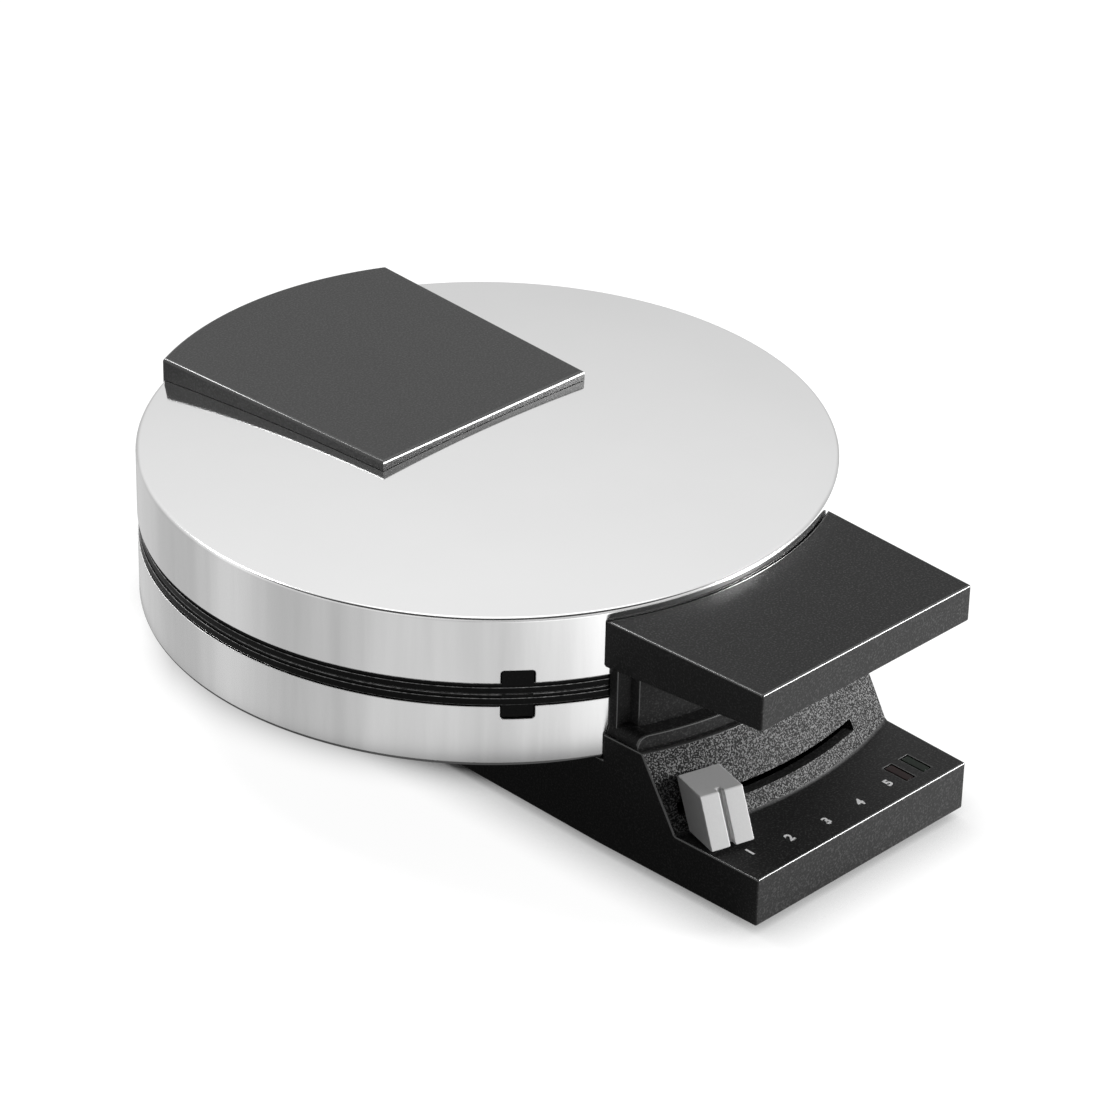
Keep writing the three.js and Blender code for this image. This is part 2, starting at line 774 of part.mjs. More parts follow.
// Bottom cover, its screws and the feet pushed through it
const bottomCover = without(raised(barOutline(housingWall + seatGap), housingUnder, coverTop), [
  ...coverBossPlaces().map(([x, y]) => post(screwRadius + seatGap, 0, deckTop, x, y)),
  ...footPlaces().map(([x, y]) => post(footNeckRadius + seatGap, 0, deckTop, x, y)),
]);
place(base, 'bottom_cover', bottomCover, blackPlastic);
const coverScrew = screw(coverScrewLength - seatGap);
coverBossPlaces().forEach(([x, y], i) => {
  place(base, `bottom_cover_screw_${i + 1}`, coverScrew, platedSteel, x, y, housingUnder - seatGap);
});

const foot = turned([
  [0, 0],
  [footRadius - footDraft, 0],
  [footRadius, footStand / 2],
  [footRadius, footStand - seatGap],
  [footNeckRadius, footStand - seatGap],
  [footNeckRadius, coverTop + seatGap],
  [footHeadRadius, coverTop + seatGap],
  [footNeckRadius, coverTop + seatGap + footHeadHeight],
  [0, coverTop + seatGap + footHeadHeight],
], smallFacets);
footPlaces().forEach(([x, y], i) => place(base, `foot_${i + 1}`, foot, rubberFinish, x, y));

// Lower shell: a pan with rounded bottom edge, notched over the plate's lugs
function lowerShell() {
  const corner = (round, radius, under) => [0, 45, 90].map((angle) => [
    radius - round * (1 - Math.sin(radians(angle))), under + round * (1 - Math.cos(radians(angle)))]);
  const pan = turned([
    [0, lowerShellUnder],
    ...corner(rimRadius, shellRadius, lowerShellUnder),
    [shellRadius, lowerShellTop],
    [shellRadius - shellWall, lowerShellTop],
    [shellRadius - shellWall, lowerShellUnder + rimRadius],
    [shellRadius - rimRadius, lowerShellUnder + shellWall],
    [0, lowerShellUnder + shellWall],
  ]);
  const low = lowerShellUnder - cutOverrun;
  const high = lowerShellUnder + shellWall + cutOverrun;
  const lugUnder = parting - rimFlangeDepth - lugHeight - seatGap;
  return without(pan, [
    post(shellCableHoleRadius, low, high, 0, 0, roundFacets),
    ...bossPlaces.map((p) => post(screwRadius + seatGap, low, high, p.x, p.y)),
    ...lugNotches(lugUnder, lowerShellTop + cutOverrun),
    hingeRoom(parting),
  ]);
}
place(base, 'lower_shell', lowerShell(), steelFinish);

place(base, 'lower_grid_plate', gridPlate(lowerStepDepth, false), nonStick, 0, 0, parting);
place(base, 'lower_heating_element', heatingElement(), elementSheath, 0, 0, parting);
place(base, 'lower_reflector', reflector(thermostatRadius + seatGap), platedSteel, 0, 0, parting);
const lowerScrew = screw(parting - plateUnder - deckUnder);
bossPlaces.forEach((p, i) => {
  place(base, `lower_plate_screw_${i + 1}`, lowerScrew, platedSteel, p.x, p.y, deckUnder - seatGap);
});

// Thermostat clamped under the lower plate, with its spindle hanging down to the lever
const thermostatTop = parting - plateUnder - seatGap;
const thermostatUnder = thermostatTop - thermostatHeight;
const thermostatNeckUnder = thermostatUnder - thermostatNeckLength;
const thermostat = turned([
  [0, thermostatTop],
  [thermostatRadius, thermostatTop],
  [thermostatRadius, thermostatUnder],
  [thermostatNeckRadius, thermostatUnder],
  [thermostatNeckRadius, thermostatNeckUnder],
  [spindleRadius + seatGap, thermostatNeckUnder],
  [spindleRadius + seatGap, thermostatNeckUnder + thermostatSocketDepth],
  [0, thermostatNeckUnder + thermostatSocketDepth],
], roundFacets);
place(base, 'thermostat', thermostat, whiteCeramic);
const fuse = crossRod(fuseRadius, -fuseLength / 2, fuseLength / 2, 0, 0, smallFacets);
const fuseHeight = parting - reflectorFrom + seatGap + fuseRadius;
place(base, 'thermal_fuse', fuse, platedSteel, fuseInset - elementLoopRadius, fuseY, fuseHeight);

// Indicator lenses in the slab, their lamps and the small board that carries them
const lensShoulder = slabTop - housingWall - seatGap;
function lens() {
  const [w, l] = [lensWidth / 2, lensLength / 2];
  return joined([
    block([-w, w], [-l, l], [lensShoulder - lensFlangeThick, slabTop]),
    block([-w - lensFlange, w + lensFlange], [-l - lensFlange, l + lensFlange],
      [lensShoulder - lensFlangeThick, lensShoulder]),
  ]);
}
const lampBoardTop = coverTop + seatGap + lampBoardThick;
const lampTop = lensShoulder - lensFlangeThick - seatGap;
const lamp = turned([
  [0, lampBoardTop + seatGap],
  [lampRadius, lampBoardTop + seatGap],
  [lampRadius, lampTop - lampRadius],
  [lampRadius / 2, lampTop - lampRadius / 4],
  [0, lampTop],
], smallFacets);
[['power', redLens], ['ready', greenLens]].forEach(([name, look], i) => {
  const x = lensFirstX + i * lensPitch;
  place(base, `${name}_lens`, lens(), look, x, -lensReach);
  place(base, `${name}_lamp`, lamp, lampGlass, x, -lensReach);
});
const lampBoard = block(
  [-lampBoardWidth / 2, lampBoardWidth / 2],
  [-lampBoardLength / 2, lampBoardLength / 2],
  [coverTop + seatGap, lampBoardTop]);
place(base, 'lamp_board', lampBoard, whiteCeramic, lensFirstX + lensPitch / 2, -lensReach);

// Terminal block on the bottom cover, with a slot for each pole
function terminalBlock() {
  const [from, top] = [coverTop + seatGap, coverTop + seatGap + terminalHeight];
  const half = terminalLength / 2;
  const body = block([-terminalWidth / 2, terminalWidth / 2], [-half, half], [from, top]);
  const pitch = terminalWidth / terminalPoles;
  const slots = Array.from({ length: terminalPoles }, (_, i) => {
    const x = (i - (terminalPoles - 1) / 2) * pitch;
    const across = [x - terminalSlotWidth / 2, x + terminalSlotWidth / 2];
    const heights = [top - terminalSlotDepth, top + cutOverrun];
    return block(across, [-half - cutOverrun, half + cutOverrun], heights);
  });
  return without(body, slots);
}
place(base, 'terminal_block', terminalBlock(), whiteCeramic, 0, barTailReach - terminalInset);

// The cord's gland, pushed through the rear wall from inside
const gland = turned([
  [glandBore, 0],
  [glandRadius, 0],
  [glandRadius, housingWall + seatGap],
  [glandFlangeRadius, housingWall + seatGap],
  [glandFlangeRadius, housingWall + seatGap + glandFlangeThick],
  [glandBore, housingWall + seatGap + glandFlangeThick],
], roundFacets);
const glandAt = housingUnder + glandHeight;
const glandMesh = place(base, 'cord_gland', gland, rubberFinish, 0, hingeReach, glandAt);
glandMesh.rotation.x = Math.PI / 2;

// Hinge pin through the ears of the base and the arm of the lid
const pinHalf = towerHalfWidth - pinEndInset;
const pin = crossRod(pinRadius, -pinHalf, pinHalf, 0, 0);
place(base, 'hinge_pin', pin, platedSteel, 0, hingeAxisReach, parting);

// Lid shell: domed top, rolled rim and side wall, notched over the lugs
function lidShell() {
  const outside = lidSkin(0, lidUnder);
  const inside = lidSkin(-shellWall, lidUnder, [0, 0.75, 1], [25, 0]);
  const cover = turned([...outside, ...inside.reverse()]);
  const lugTop = parting + rimFlangeDepth + lugHeight + seatGap;
  const hole = screwRadius + seatGap;
  const outer = shellRadius + cutOverrun;
  return without(cover, [
    ...lugNotches(lidUnder - cutOverrun, lugTop),
    hingeRoom(parting),
    ...handleScrewPlaces().map(([x, z]) => lengthwiseRod(hole, -outer, -bossRing, x, z)),
    ...rivetPlaces().map(([x, z]) => lengthwiseRod(hole, bossRing, outer, x, z)),
    ...coverPlateScrewPlaces().map(([x, y]) => post(hole, parting + plateUnder, domeTop, x, y)),
  ]);
}

function handleScrewPlaces() {
  return both((side) => [side * handleScrewX, handleTop - handleScrewDrop]);
}

function rivetPlaces() {
  return both((side) => [side * rivetX, parting + rivetRise]);
}

function coverPlateScrewPlaces() {
  return both((side) => [side * coverPlateScrewX, shellRadius - coverPlateScrewInset]);
}

place(lid, 'lid_shell', lidShell(), steelFinish);
place(lid, 'upper_grid_plate', turnedOver(gridPlate(upperStepDepth, true)), nonStick, 0, 0, parting);
place(lid, 'upper_heating_element', turnedOver(heatingElement()), elementSheath, 0, 0, parting);
place(lid, 'upper_reflector', turnedOver(reflector(0)), platedSteel, 0, 0, parting);
const upperScrewSeat = parting + reflectorFrom + reflectorThick + seatGap;
const upperScrew = turnedOver(screw(reflectorThick + 2 * seatGap + bossLength));
bossPlaces.forEach((p, i) => {
  place(lid, `upper_plate_screw_${i + 1}`, upperScrew, platedSteel, p.x, p.y, upperScrewSeat);
});

// Lid handle: flat top, sloping underside, back hollowed to the shell
function lidHandle() {
  const half = [
    [handleFrontHalfWidth, -handleReach],
    [barHalfWidth, -Math.sqrt(shellRadius ** 2 - barHalfWidth ** 2)],
    [barHalfWidth, -shellRadius / 2],
  ];
  const plan = [...half, ...half.map(([x, y]) => [-x, y]).reverse()];
  const slab = raised(plan, handleTop - 2 * handleRootThick, handleTop, handleRound);
  const holes = handleScrewPlaces().map(([x, z]) => lengthwiseRod(
    screwRadius + seatGap, -shellRoomAt(x) - handleScrewBite, -shellRadius / 2, x, z));
  return without(slab, [underHandle(0), shellRoom(0, domeTop), ...holes]);
}
place(lid, 'lid_handle', lidHandle(), blackPlastic);
const handleScrew = screw(handleScrewBite);
handleScrewPlaces().forEach(([x, z], i) => {
  const mesh = place(lid, `handle_screw_${i + 1}`, handleScrew, platedSteel, x, -wallSeatAt(x), z);
  mesh.rotation.x = Math.PI / 2;
});

// Cover plate over the rear half of the lid, its underside following the dome
function coverPlate() {
  const rearAngle = Math.asin(barHalfWidth / shellRadius);
  const frontHalf = barHalfWidth - coverPlateTaper;
  const shape = new THREE.Shape();
  shape.moveTo(-frontHalf, coverPlateFront);
  shape.lineTo(frontHalf, coverPlateFront);
  shape.absarc(0, 0, shellRadius, Math.PI / 2 - rearAngle, Math.PI / 2 + rearAngle);
  const skirtUnder = coverPlateTop - coverPlateSkirt;
  const slab = raised(shape, skirtUnder, coverPlateTop, coverPlateRound, coverPlateFacets);
  const under = turned([...lidSkin(seatGap, lidUnder), [0, lidUnder]]);
  const holes = coverPlateScrewPlaces().map(([x, y]) => {
    const holeTop = domeHeight(Math.hypot(x, y)) + seatGap + coverPlateScrewBite;
    return post(screwRadius + seatGap, lidUnder, holeTop, x, y);
  });
  return without(slab, [under, ...holes]);
}
place(lid, 'lid_cover_plate', coverPlate(), blackPlastic);
const coverPlateScrew = screw(shellWall + seatGap + coverPlateScrewBite);
coverPlateScrewPlaces().forEach(([x, y], i) => {
  const seat = domeHeight(Math.hypot(x, y) + screwHeadRadius) - shellWall - seatGap;
  place(lid, `cover_plate_screw_${['left', 'right'][i]}`, coverPlateScrew, platedSteel, x, y, seat);
});

// Hinge arm of the lid: a block riveted to the rear wall, ending in the middle knuckle
function hingeArm() {
  const depth = [shellRoomAt(armHalfWidth), hingeReach];
  const wall = block([-armHalfWidth, armHalfWidth], depth, [parting, parting + armHeight]);
  const knuckle = crossRod(knuckleRadius, -armHalfWidth, armHalfWidth, hingeAxisReach, parting);
  return without(wall.subtract(shellRoom(0, domeTop)).add(knuckle), [
    pinHole(armHalfWidth),
    ...rivetPlaces().map(([x, z]) => lengthwiseRod(
      screwRadius + seatGap, shellRadius - cutOverrun, hingeReach + cutOverrun, x, z)),
  ]);
}
place(lid, 'lid_hinge_arm', hingeArm(), blackPlastic);
rivetPlaces().forEach(([x, z], i) => {
  const inside = wallSeatAt(x);
  const rivet = screw(hingeReach - seatGap - inside);
  const mesh = place(lid, `hinge_rivet_${i + 1}`, rivet, platedSteel, x, inside, z);
  mesh.rotation.x = -Math.PI / 2;
});

// Browning control, drawn pointing straight ahead and turned to its rest position
control.rotation.z = radians(knobAngle);
const leverTip = coneRadiusAt(slotMid) + leverBite;
const leverUnder = slotMid - leverThick / 2;
const leverTop = slotMid + leverThick / 2;
const lever = without(joined([
  post(leverHubRadius, leverUnder, leverTop, 0, 0, roundFacets),
  block([-leverWidth / 2, leverWidth / 2], [-leverTip, 0], [leverUnder, leverTop]),
]), [post(spindleRadius + seatGap, leverUnder - cutOverrun, leverTop + cutOverrun, 0, 0, roundFacets)]);
place(control, 'browning_lever', lever, platedSteel);

const spindleTop = thermostatNeckUnder + thermostatSocketDepth - seatGap;
const spindle = post(spindleRadius, leverUnder - spindleTail, spindleTop, 0, 0, roundFacets);
place(control, 'thermostat_spindle', spindle, platedSteel);
const clip = turned([
  [spindleRadius + seatGap, leverUnder - seatGap - clipThick],
  [clipRadius, leverUnder - seatGap - clipThick],
  [clipRadius, leverUnder - seatGap],
  [spindleRadius + seatGap, leverUnder - seatGap],
], roundFacets);
place(control, 'lever_clip', clip, platedSteel);

function browningKnob() {
  const [under, top] = [slabTop + knobFootRise, coneTop - knobTopDrop];
  const [footBack, topBack] = [under, top].map((height) => -coneRadiusAt(height) - knobStandOff);
  const [footFront, topFront] = [footBack - knobFootDepth, topBack - knobTopDepth];
  const section = [[topBack, top], [topFront, top], [footFront, under], [footBack, under]];
  const body = widened(section, knobWidth / 2);
  const groove = widened([
    [topFront + pointerDepth, top + cutOverrun],
    [-frontReach, top + cutOverrun],
    [-frontReach, under - cutOverrun],
    [footFront + pointerDepth, under - cutOverrun],
  ], pointerWidth / 2);
  const socket = block(
    [-leverWidth / 2 - seatGap, leverWidth / 2 + seatGap],
    [-leverTip - seatGap, 0],
    [leverUnder - seatGap, leverTop + seatGap]);
  return without(body, [groove, socket]);
}
place(control, 'browning_knob', browningKnob(), greyPlastic);

export default waffleMaker;
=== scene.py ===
import math

import bmesh
import bpy
from mathutils import Matrix, Vector


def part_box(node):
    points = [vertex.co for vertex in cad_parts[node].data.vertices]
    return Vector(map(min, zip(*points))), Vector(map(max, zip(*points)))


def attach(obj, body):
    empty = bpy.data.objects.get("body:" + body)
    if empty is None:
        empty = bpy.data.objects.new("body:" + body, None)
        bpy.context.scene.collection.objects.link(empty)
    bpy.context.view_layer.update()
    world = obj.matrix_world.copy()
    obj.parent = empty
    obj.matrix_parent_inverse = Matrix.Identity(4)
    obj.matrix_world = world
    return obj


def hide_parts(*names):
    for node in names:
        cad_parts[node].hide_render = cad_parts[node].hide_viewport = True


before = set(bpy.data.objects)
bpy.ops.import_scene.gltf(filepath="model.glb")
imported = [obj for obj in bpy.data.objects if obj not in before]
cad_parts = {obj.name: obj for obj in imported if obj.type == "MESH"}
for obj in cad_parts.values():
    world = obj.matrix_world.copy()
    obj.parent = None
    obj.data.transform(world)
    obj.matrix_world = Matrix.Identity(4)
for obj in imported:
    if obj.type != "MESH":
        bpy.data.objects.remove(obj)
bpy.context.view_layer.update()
scene = bpy.context.scene

# The view: a camera in front of the left corner of the base, looking down on the lid.
# Its place is given by an azimuth, an elevation and a distance from a point by the shells.
MM = 0.001
VIEW_AZIMUTH = math.radians(-45.70)
VIEW_ELEVATION = math.radians(29.98)
VIEW_ROLL = math.radians(1.31)
VIEW_DISTANCE = 1311
VIEW_POINT = Vector((25.6, 20.55, 30.0))
VIEW_LENS = 148.8

view_back = Vector((
    math.sin(VIEW_AZIMUTH) * math.cos(VIEW_ELEVATION),
    -math.cos(VIEW_AZIMUTH) * math.cos(VIEW_ELEVATION),
    math.sin(VIEW_ELEVATION),
))
view_level = Vector((math.cos(VIEW_AZIMUTH), math.sin(VIEW_AZIMUTH), 0))
view_right = Matrix.Rotation(VIEW_ROLL, 3, view_back) @ view_level
view_turn = Matrix((view_right, view_back.cross(view_right), view_back)).transposed()
camera_data = bpy.data.cameras.new("view")
camera_data.lens = VIEW_LENS
camera_data.clip_start = 0.05
camera = bpy.data.objects.new("view", camera_data)
camera.matrix_world = Matrix.Translation((VIEW_POINT + view_back * VIEW_DISTANCE) * MM) @ view_turn.to_4x4()
scene.collection.objects.link(camera)
scene.camera = camera
scene.view_settings.view_transform = "Standard"

# The studio: a white floor and white surroundings, which the steel mirrors, a large soft lamp
# low on the right of the camera, one overhead, and a narrower one behind on the left. Over the
# camera the room is dark, which draws a thin line along the rim of the lid.
FLOOR_HALF = 4000
FLOOR_WHITE = 0.2
FLOOR_LIFT = 0.96
# Painted shade and a painted shadow in the floor's glow for the camera.
FLOOR_SHADE = 0.8
FLOOR_SHADE_REACH = 17
SHADOW_MIDDLE = Vector((37.9, 57.5, 0))
SHADOW_EDGE = (97, 121)
SHADOW_INSIDE = (72, 96)
SHADOW_DEPTH = 0.8
SHADOW_UNDER = (90, 104)
SHADOW_LEFT_OF = (-15, 25)
SHELLS_MIDDLE = Vector((0, 20.55, 0))
# Painted light and shade on the floor as the steel mirrors it.
FLOOR_MIRRORED = (0.63, 1.5)
FLOOR_PAINTED_GRADE = (-130, 160)
FLOOR_PAINTED_SHADE_MIDDLE = Vector((-10, 2, 0))
FLOOR_PAINTED_SHADE_FADE = (119, 134)
FLOOR_PAINTED_SHADE_LEAST = 0.12
ROOM_ON_MATT = 0.096
ROOM_AT_HORIZON = 0.528
ROOM_RISE = 0.6
ROOM_MOST = 0.92
ROOM_TO_LEFT = 0.064
DARK_FROM = 0.61
DARK_TO = 0.99
DARK_DEPTH = 0.94
LAMPS = {
    "key": {"towards": (0.62, -0.74, 0.2), "reach": 1300, "size": 500, "power": 25},
    "overhead": {"towards": (0.1, 0.05, 1), "reach": 1200, "size": 900, "power": 1.2},
    "edge": {"towards": (-0.15, 0.6, 0.79), "reach": 1300, "size": 360, "power": 7},
}


class Wire:
    """A value in a node tree. Arithmetic on it adds Math nodes, and node() adds any other node."""

    def __init__(self, tree, socket=None):
        self.tree = tree
        self.socket = socket

    def node(self, kind, settings=None, sockets=None, output=0):
        made = self.tree.nodes.new(kind)
        for name, value in (settings or {}).items():
            if name == "stops":
                for stop, (place, color) in zip(made.color_ramp.elements, value):
                    stop.position, stop.color = place, color
            else:
                setattr(made, name, value)
        for name, value in (sockets or {}).items():
            if isinstance(value, Wire):
                self.tree.links.new(value.socket, made.inputs[name])
            else:
                made.inputs[name].default_value = value
        return Wire(self.tree, made.outputs[output] if made.outputs else None)

    def math(self, operation, *values, clamp=False):
        settings = {"operation": operation, "use_clamp": clamp}
        return self.node("ShaderNodeMath", settings, dict(enumerate(values)))

    def __add__(self, other):
        return self.math("ADD", self, other)

    __radd__ = __add__

    def __mul__(self, other):
        return self.math("MULTIPLY", self, other)

    __rmul__ = __mul__

    def __sub__(self, other):
        return self.math("SUBTRACT", self, other)

    def __rsub__(self, other):
        return self.math("SUBTRACT", other, self)

    def __gt__(self, other):
        return self.math("GREATER_THAN", self, other)

    def __lt__(self, other):
        return self.math("LESS_THAN", self, other)

    def between(self, low, high):
        """0 below low, 1 above high, and a straight rise between them."""
        sockets = {"Value": self, "From Min": low, "From Max": high}
        return self.node("ShaderNodeMapRange", {"clamp": True}, sockets)


def along(wire, vector, direction):
    """How far a vector reaches along a direction."""
    return wire.node(
        "ShaderNodeVectorMath", {"operation": "DOT_PRODUCT"}, {0: vector, 1: direction}, output="Value")


def distance(wire, vector, place):
    """How far a vector is from a place."""
    return wire.node("ShaderNodeVectorMath", {"operation": "DISTANCE"}, {0: vector, 1: place}, output="Value")


world = bpy.data.worlds.new("studio")
world.use_nodes = True
world.node_tree.nodes.clear()
wire = Wire(world.node_tree)
outwards = wire.node("ShaderNodeTexCoord", output="Generated")
height = along(wire, outwards, (0, 0, 1))
open_room = height * ROOM_RISE + along(wire, outwards, view_level) * -ROOM_TO_LEFT + ROOM_AT_HORIZON
over_camera = along(wire, outwards, (view_back.x, view_back.y, 0)).between(-0.05, 0.05)
dark = over_camera * height.between(DARK_FROM, DARK_FROM + 0.05) * (
    1 - height.between(DARK_TO - 0.02, DARK_TO)) * DARK_DEPTH
mirrored = open_room.math("MINIMUM", open_room, ROOM_MOST) * (1 - dark)
is_view = wire.node("ShaderNodeLightPath", output="Is Camera Ray")
is_mirror = wire.math("MAXIMUM", wire.node("ShaderNodeLightPath", output="Is Glossy Ray"), wire.node(
    "ShaderNodeLightPath", output="Is Transmission Ray"))
room = is_view + (1 - is_view) * (is_mirror * mirrored + (1 - is_mirror) * ROOM_ON_MATT)
wire.node("ShaderNodeOutputWorld", sockets={
    "Surface": wire.node("ShaderNodeBackground", sockets={"Color": (1, 1, 1, 1), "Strength": room})})
scene.world = world

for name, lamp in LAMPS.items():
    lamp_data = bpy.data.lights.new(name, "AREA")
    lamp_data.shape = "DISK"
    lamp_data.size = lamp["size"] * MM
    lamp_data.energy = lamp["power"]
    lamp_object = bpy.data.objects.new(name, lamp_data)
    towards = Vector(lamp["towards"]).normalized()
    place = (VIEW_POINT + towards * lamp["reach"]) * MM
    lamp_object.matrix_world = Matrix.Translation(place) @ towards.to_track_quat("Z", "Y").to_matrix().to_4x4()
    scene.collection.objects.link(lamp_object)


def new_material(name):
    """A material with an empty node tree, and the wire that adds nodes to it."""
    material = bpy.data.materials.new(name)
    material.use_nodes = True
    material.node_tree.nodes.clear()
    return material, Wire(material.node_tree)


floor_material, wire = new_material("floor_white")
floor_matt = wire.node("ShaderNodeBsdfDiffuse", sockets={"Color": (FLOOR_WHITE, FLOOR_WHITE, FLOOR_WHITE, 1)})
# Painted shade: the floor's glow for the camera is darker where ambient occlusion finds the base close by, and a
# painted shadow lies in a soft crescent under the left of the shells.
shaded = 1 - wire.node(
    "ShaderNodeAmbientOcclusion", {"samples": 4}, {"Distance": FLOOR_SHADE_REACH * MM}, output="AO")
spot = wire.node("ShaderNodeTexCoord", output="Object")
from_shadow = distance(wire, spot, SHADOW_MIDDLE * MM)
painted_shadow = 1 - from_shadow.between(SHADOW_EDGE[0] * MM, SHADOW_EDGE[1] * MM)
painted_shadow = painted_shadow * painted_shadow * from_shadow.between(SHADOW_INSIDE[0] * MM, SHADOW_INSIDE[1] * MM) * (
    1 - distance(wire, spot, SHELLS_MIDDLE * MM).between(SHADOW_UNDER[0] * MM, SHADOW_UNDER[1] * MM)) * (
    1 - along(wire, spot, view_level).between(SHADOW_LEFT_OF[0] * MM, SHADOW_LEFT_OF[1] * MM))
floor_glow = wire.node("ShaderNodeEmission", sockets={
    "Strength": wire.node("ShaderNodeLightPath", output="Is Camera Ray") * (
        FLOOR_LIFT - shaded * FLOOR_SHADE - painted_shadow * SHADOW_DEPTH).between(0, 1)})
floor_seen = wire.node("ShaderNodeAddShader", sockets={0: floor_matt, 1: floor_glow})
# Painted light and shade in the floor that reflections see: lighter towards the front right, and darker round the base,
# fading out away from it.
painted_light_grade = along(wire, spot, (0.7, -0.7, 0)).between(FLOOR_PAINTED_GRADE[0] * MM, FLOOR_PAINTED_GRADE[1] * MM)
away = distance(wire, spot, FLOOR_PAINTED_SHADE_MIDDLE * MM).between(FLOOR_PAINTED_SHADE_FADE[0] * MM, FLOOR_PAINTED_SHADE_FADE[1] * MM)
painted_light_level = painted_light_grade * painted_light_grade * (FLOOR_MIRRORED[1] - FLOOR_MIRRORED[0]) + FLOOR_MIRRORED[0]
floor_mirrored = wire.node("ShaderNodeEmission", sockets={
    "Strength": painted_light_level * (away * away * (1 - FLOOR_PAINTED_SHADE_LEAST) + FLOOR_PAINTED_SHADE_LEAST)})
wire.node("ShaderNodeOutputMaterial", sockets={"Surface": wire.node("ShaderNodeMixShader", sockets={
    0: wire.node("ShaderNodeLightPath", output="Is Glossy Ray"), 1: floor_seen, 2: floor_mirrored})})

floor_form = bmesh.new()
bmesh.ops.create_grid(floor_form, x_segments=1, y_segments=1, size=FLOOR_HALF * MM)
floor_mesh = bpy.data.meshes.new("floor")
floor_form.to_mesh(floor_mesh)
floor_form.free()
floor_mesh.materials.append(floor_material)
floor = bpy.data.objects.new("floor", floor_mesh)
scene.collection.objects.link(floor)

# Base housing: one black phenolic moulding, open underneath, with the slab of the control panel
# in front, the bar and deck under the shells, the neck behind the panel and the hinge towers.
# Its heights and reaches come from the frame; what is measured here is millimetres.
lid_low, lid_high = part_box("lid_shell")
AXIS = Vector(((lid_low.x + lid_high.x) / 2, (lid_low.y + lid_high.y) / 2, 0)) / MM
FINE_STEPS = 240
FINISHES = 3
GRAIN, EDGE, COARSE = range(FINISHES)
WELD = 0.0005
SLIVER = 0.2
SHARP = math.radians(32)


def extent(node):
    """The lowest and highest corner of a CAD node in millimetres, measured from the shells' axis."""
    low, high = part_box(node)
    return low / MM - AXIS, high / MM - AXIS


def block(x, y, z):
    """A box between two places along each axis."""
    form = bmesh.new()
    bmesh.ops.create_cube(form, size=1)
    bmesh.ops.scale(form, vec=(x[1] - x[0], y[1] - y[0], z[1] - z[0]), verts=form.verts)
    bmesh.ops.translate(form, vec=(sum(x) / 2, sum(y) / 2, sum(z) / 2), verts=form.verts)
    return form


def turned(profile, steps=FINE_STEPS):
    """A closed form: a line of (radius, height) points turned about the shells' axis."""
    form = bmesh.new()
    line = [form.verts.new((radius, 0, height)) for radius, height in profile]
    for start, end in zip(line, line[1:]):
        form.edges.new((start, end))
    bmesh.ops.spin(
        form, geom=form.verts[:] + form.edges[:], cent=(0, 0, 0), axis=(0, 0, 1),
        angle=2 * math.pi, steps=steps, use_merge=True)
    bmesh.ops.remove_doubles(form, verts=form.verts, dist=WELD)
    bmesh.ops.recalc_face_normals(form, faces=form.faces)
    return form


def extruded(outline, low, high, across=False):
    """A plan outline raised from low to high or, across, a (y, z) outline widened from x low to x high."""
    form = bmesh.new()
    corners = [(low, a, b) if across else (a, b, low) for a, b in outline]
    face = form.faces.new([form.verts.new(corner) for corner in corners])
    grown = bmesh.ops.extrude_face_region(form, geom=[face])["geom"]
    step = (high - low, 0, 0) if across else (0, 0, high - low)
    bmesh.ops.translate(form, vec=step, verts=[v for v in grown if isinstance(v, bmesh.types.BMVert)])
    bmesh.ops.recalc_face_normals(form, faces=form.faces)
    return form


def carved(body, tool, operation="DIFFERENCE"):
    """body after an exact boolean with tool: DIFFERENCE, INTERSECT or UNION."""
    pair = []
    for form in (body, tool):
        mesh = bpy.data.meshes.new("carving")
        form.to_mesh(mesh)
        form.free()
        for _ in range(FINISHES):
            mesh.materials.append(None)
        pair.append(bpy.data.objects.new("carving", mesh))
        scene.collection.objects.link(pair[-1])
    boolean = pair[0].modifiers.new("boolean", "BOOLEAN")
    boolean.operation = operation
    boolean.solver = "EXACT"
    boolean.object = pair[1]
    result = bmesh.new()
    result.from_object(pair[0], bpy.context.evaluated_depsgraph_get())
    for held in pair:
        mesh = held.data
        bpy.data.objects.remove(held)
        bpy.data.meshes.remove(mesh)
    bmesh.ops.remove_doubles(result, verts=result.verts, dist=WELD)
    return result


def is_corner(edge):
    """True on an outside edge that two faces meet at, more sharply than the facets of a curve."""
    return len(edge.link_faces) == 2 and edge.calc_face_angle(0) > SHARP and edge.is_convex


def rounded(form, radius, segments=3, chosen=lambda edge: True, upright=True, clamp=True):
    """Rounds the outside edges that chosen is true for, once the slivers of a cut are closed.

    The rounding has the EDGE finish; upright ones have it only where upright is true.
    """
    bmesh.ops.dissolve_degenerate(form, dist=SLIVER, edges=form.edges)
    bmesh.ops.dissolve_limit(
        form, angle_limit=math.radians(0.05), use_dissolve_boundaries=False,
        verts=form.verts, edges=form.edges, delimit=set())
    edges = [edge for edge in form.edges if is_corner(edge) and chosen(edge)]
    made = bmesh.ops.bevel(
        form, geom=edges, offset=radius, segments=segments, profile=0.5, affect="EDGES",
        clamp_overlap=clamp, material=-1)
    for face in made["faces"]:
        face.normal_update()
        if upright or abs(face.normal.z) > 0.2:
            face.material_index = EDGE
    return form


def merged(forms):
    """Several forms in one."""
    whole = forms[0]
    for form in forms[1:]:
        mesh = bpy.data.meshes.new("merging")
        form.to_mesh(mesh)
        form.free()
        whole.from_mesh(mesh)
        bpy.data.meshes.remove(mesh)
    return whole


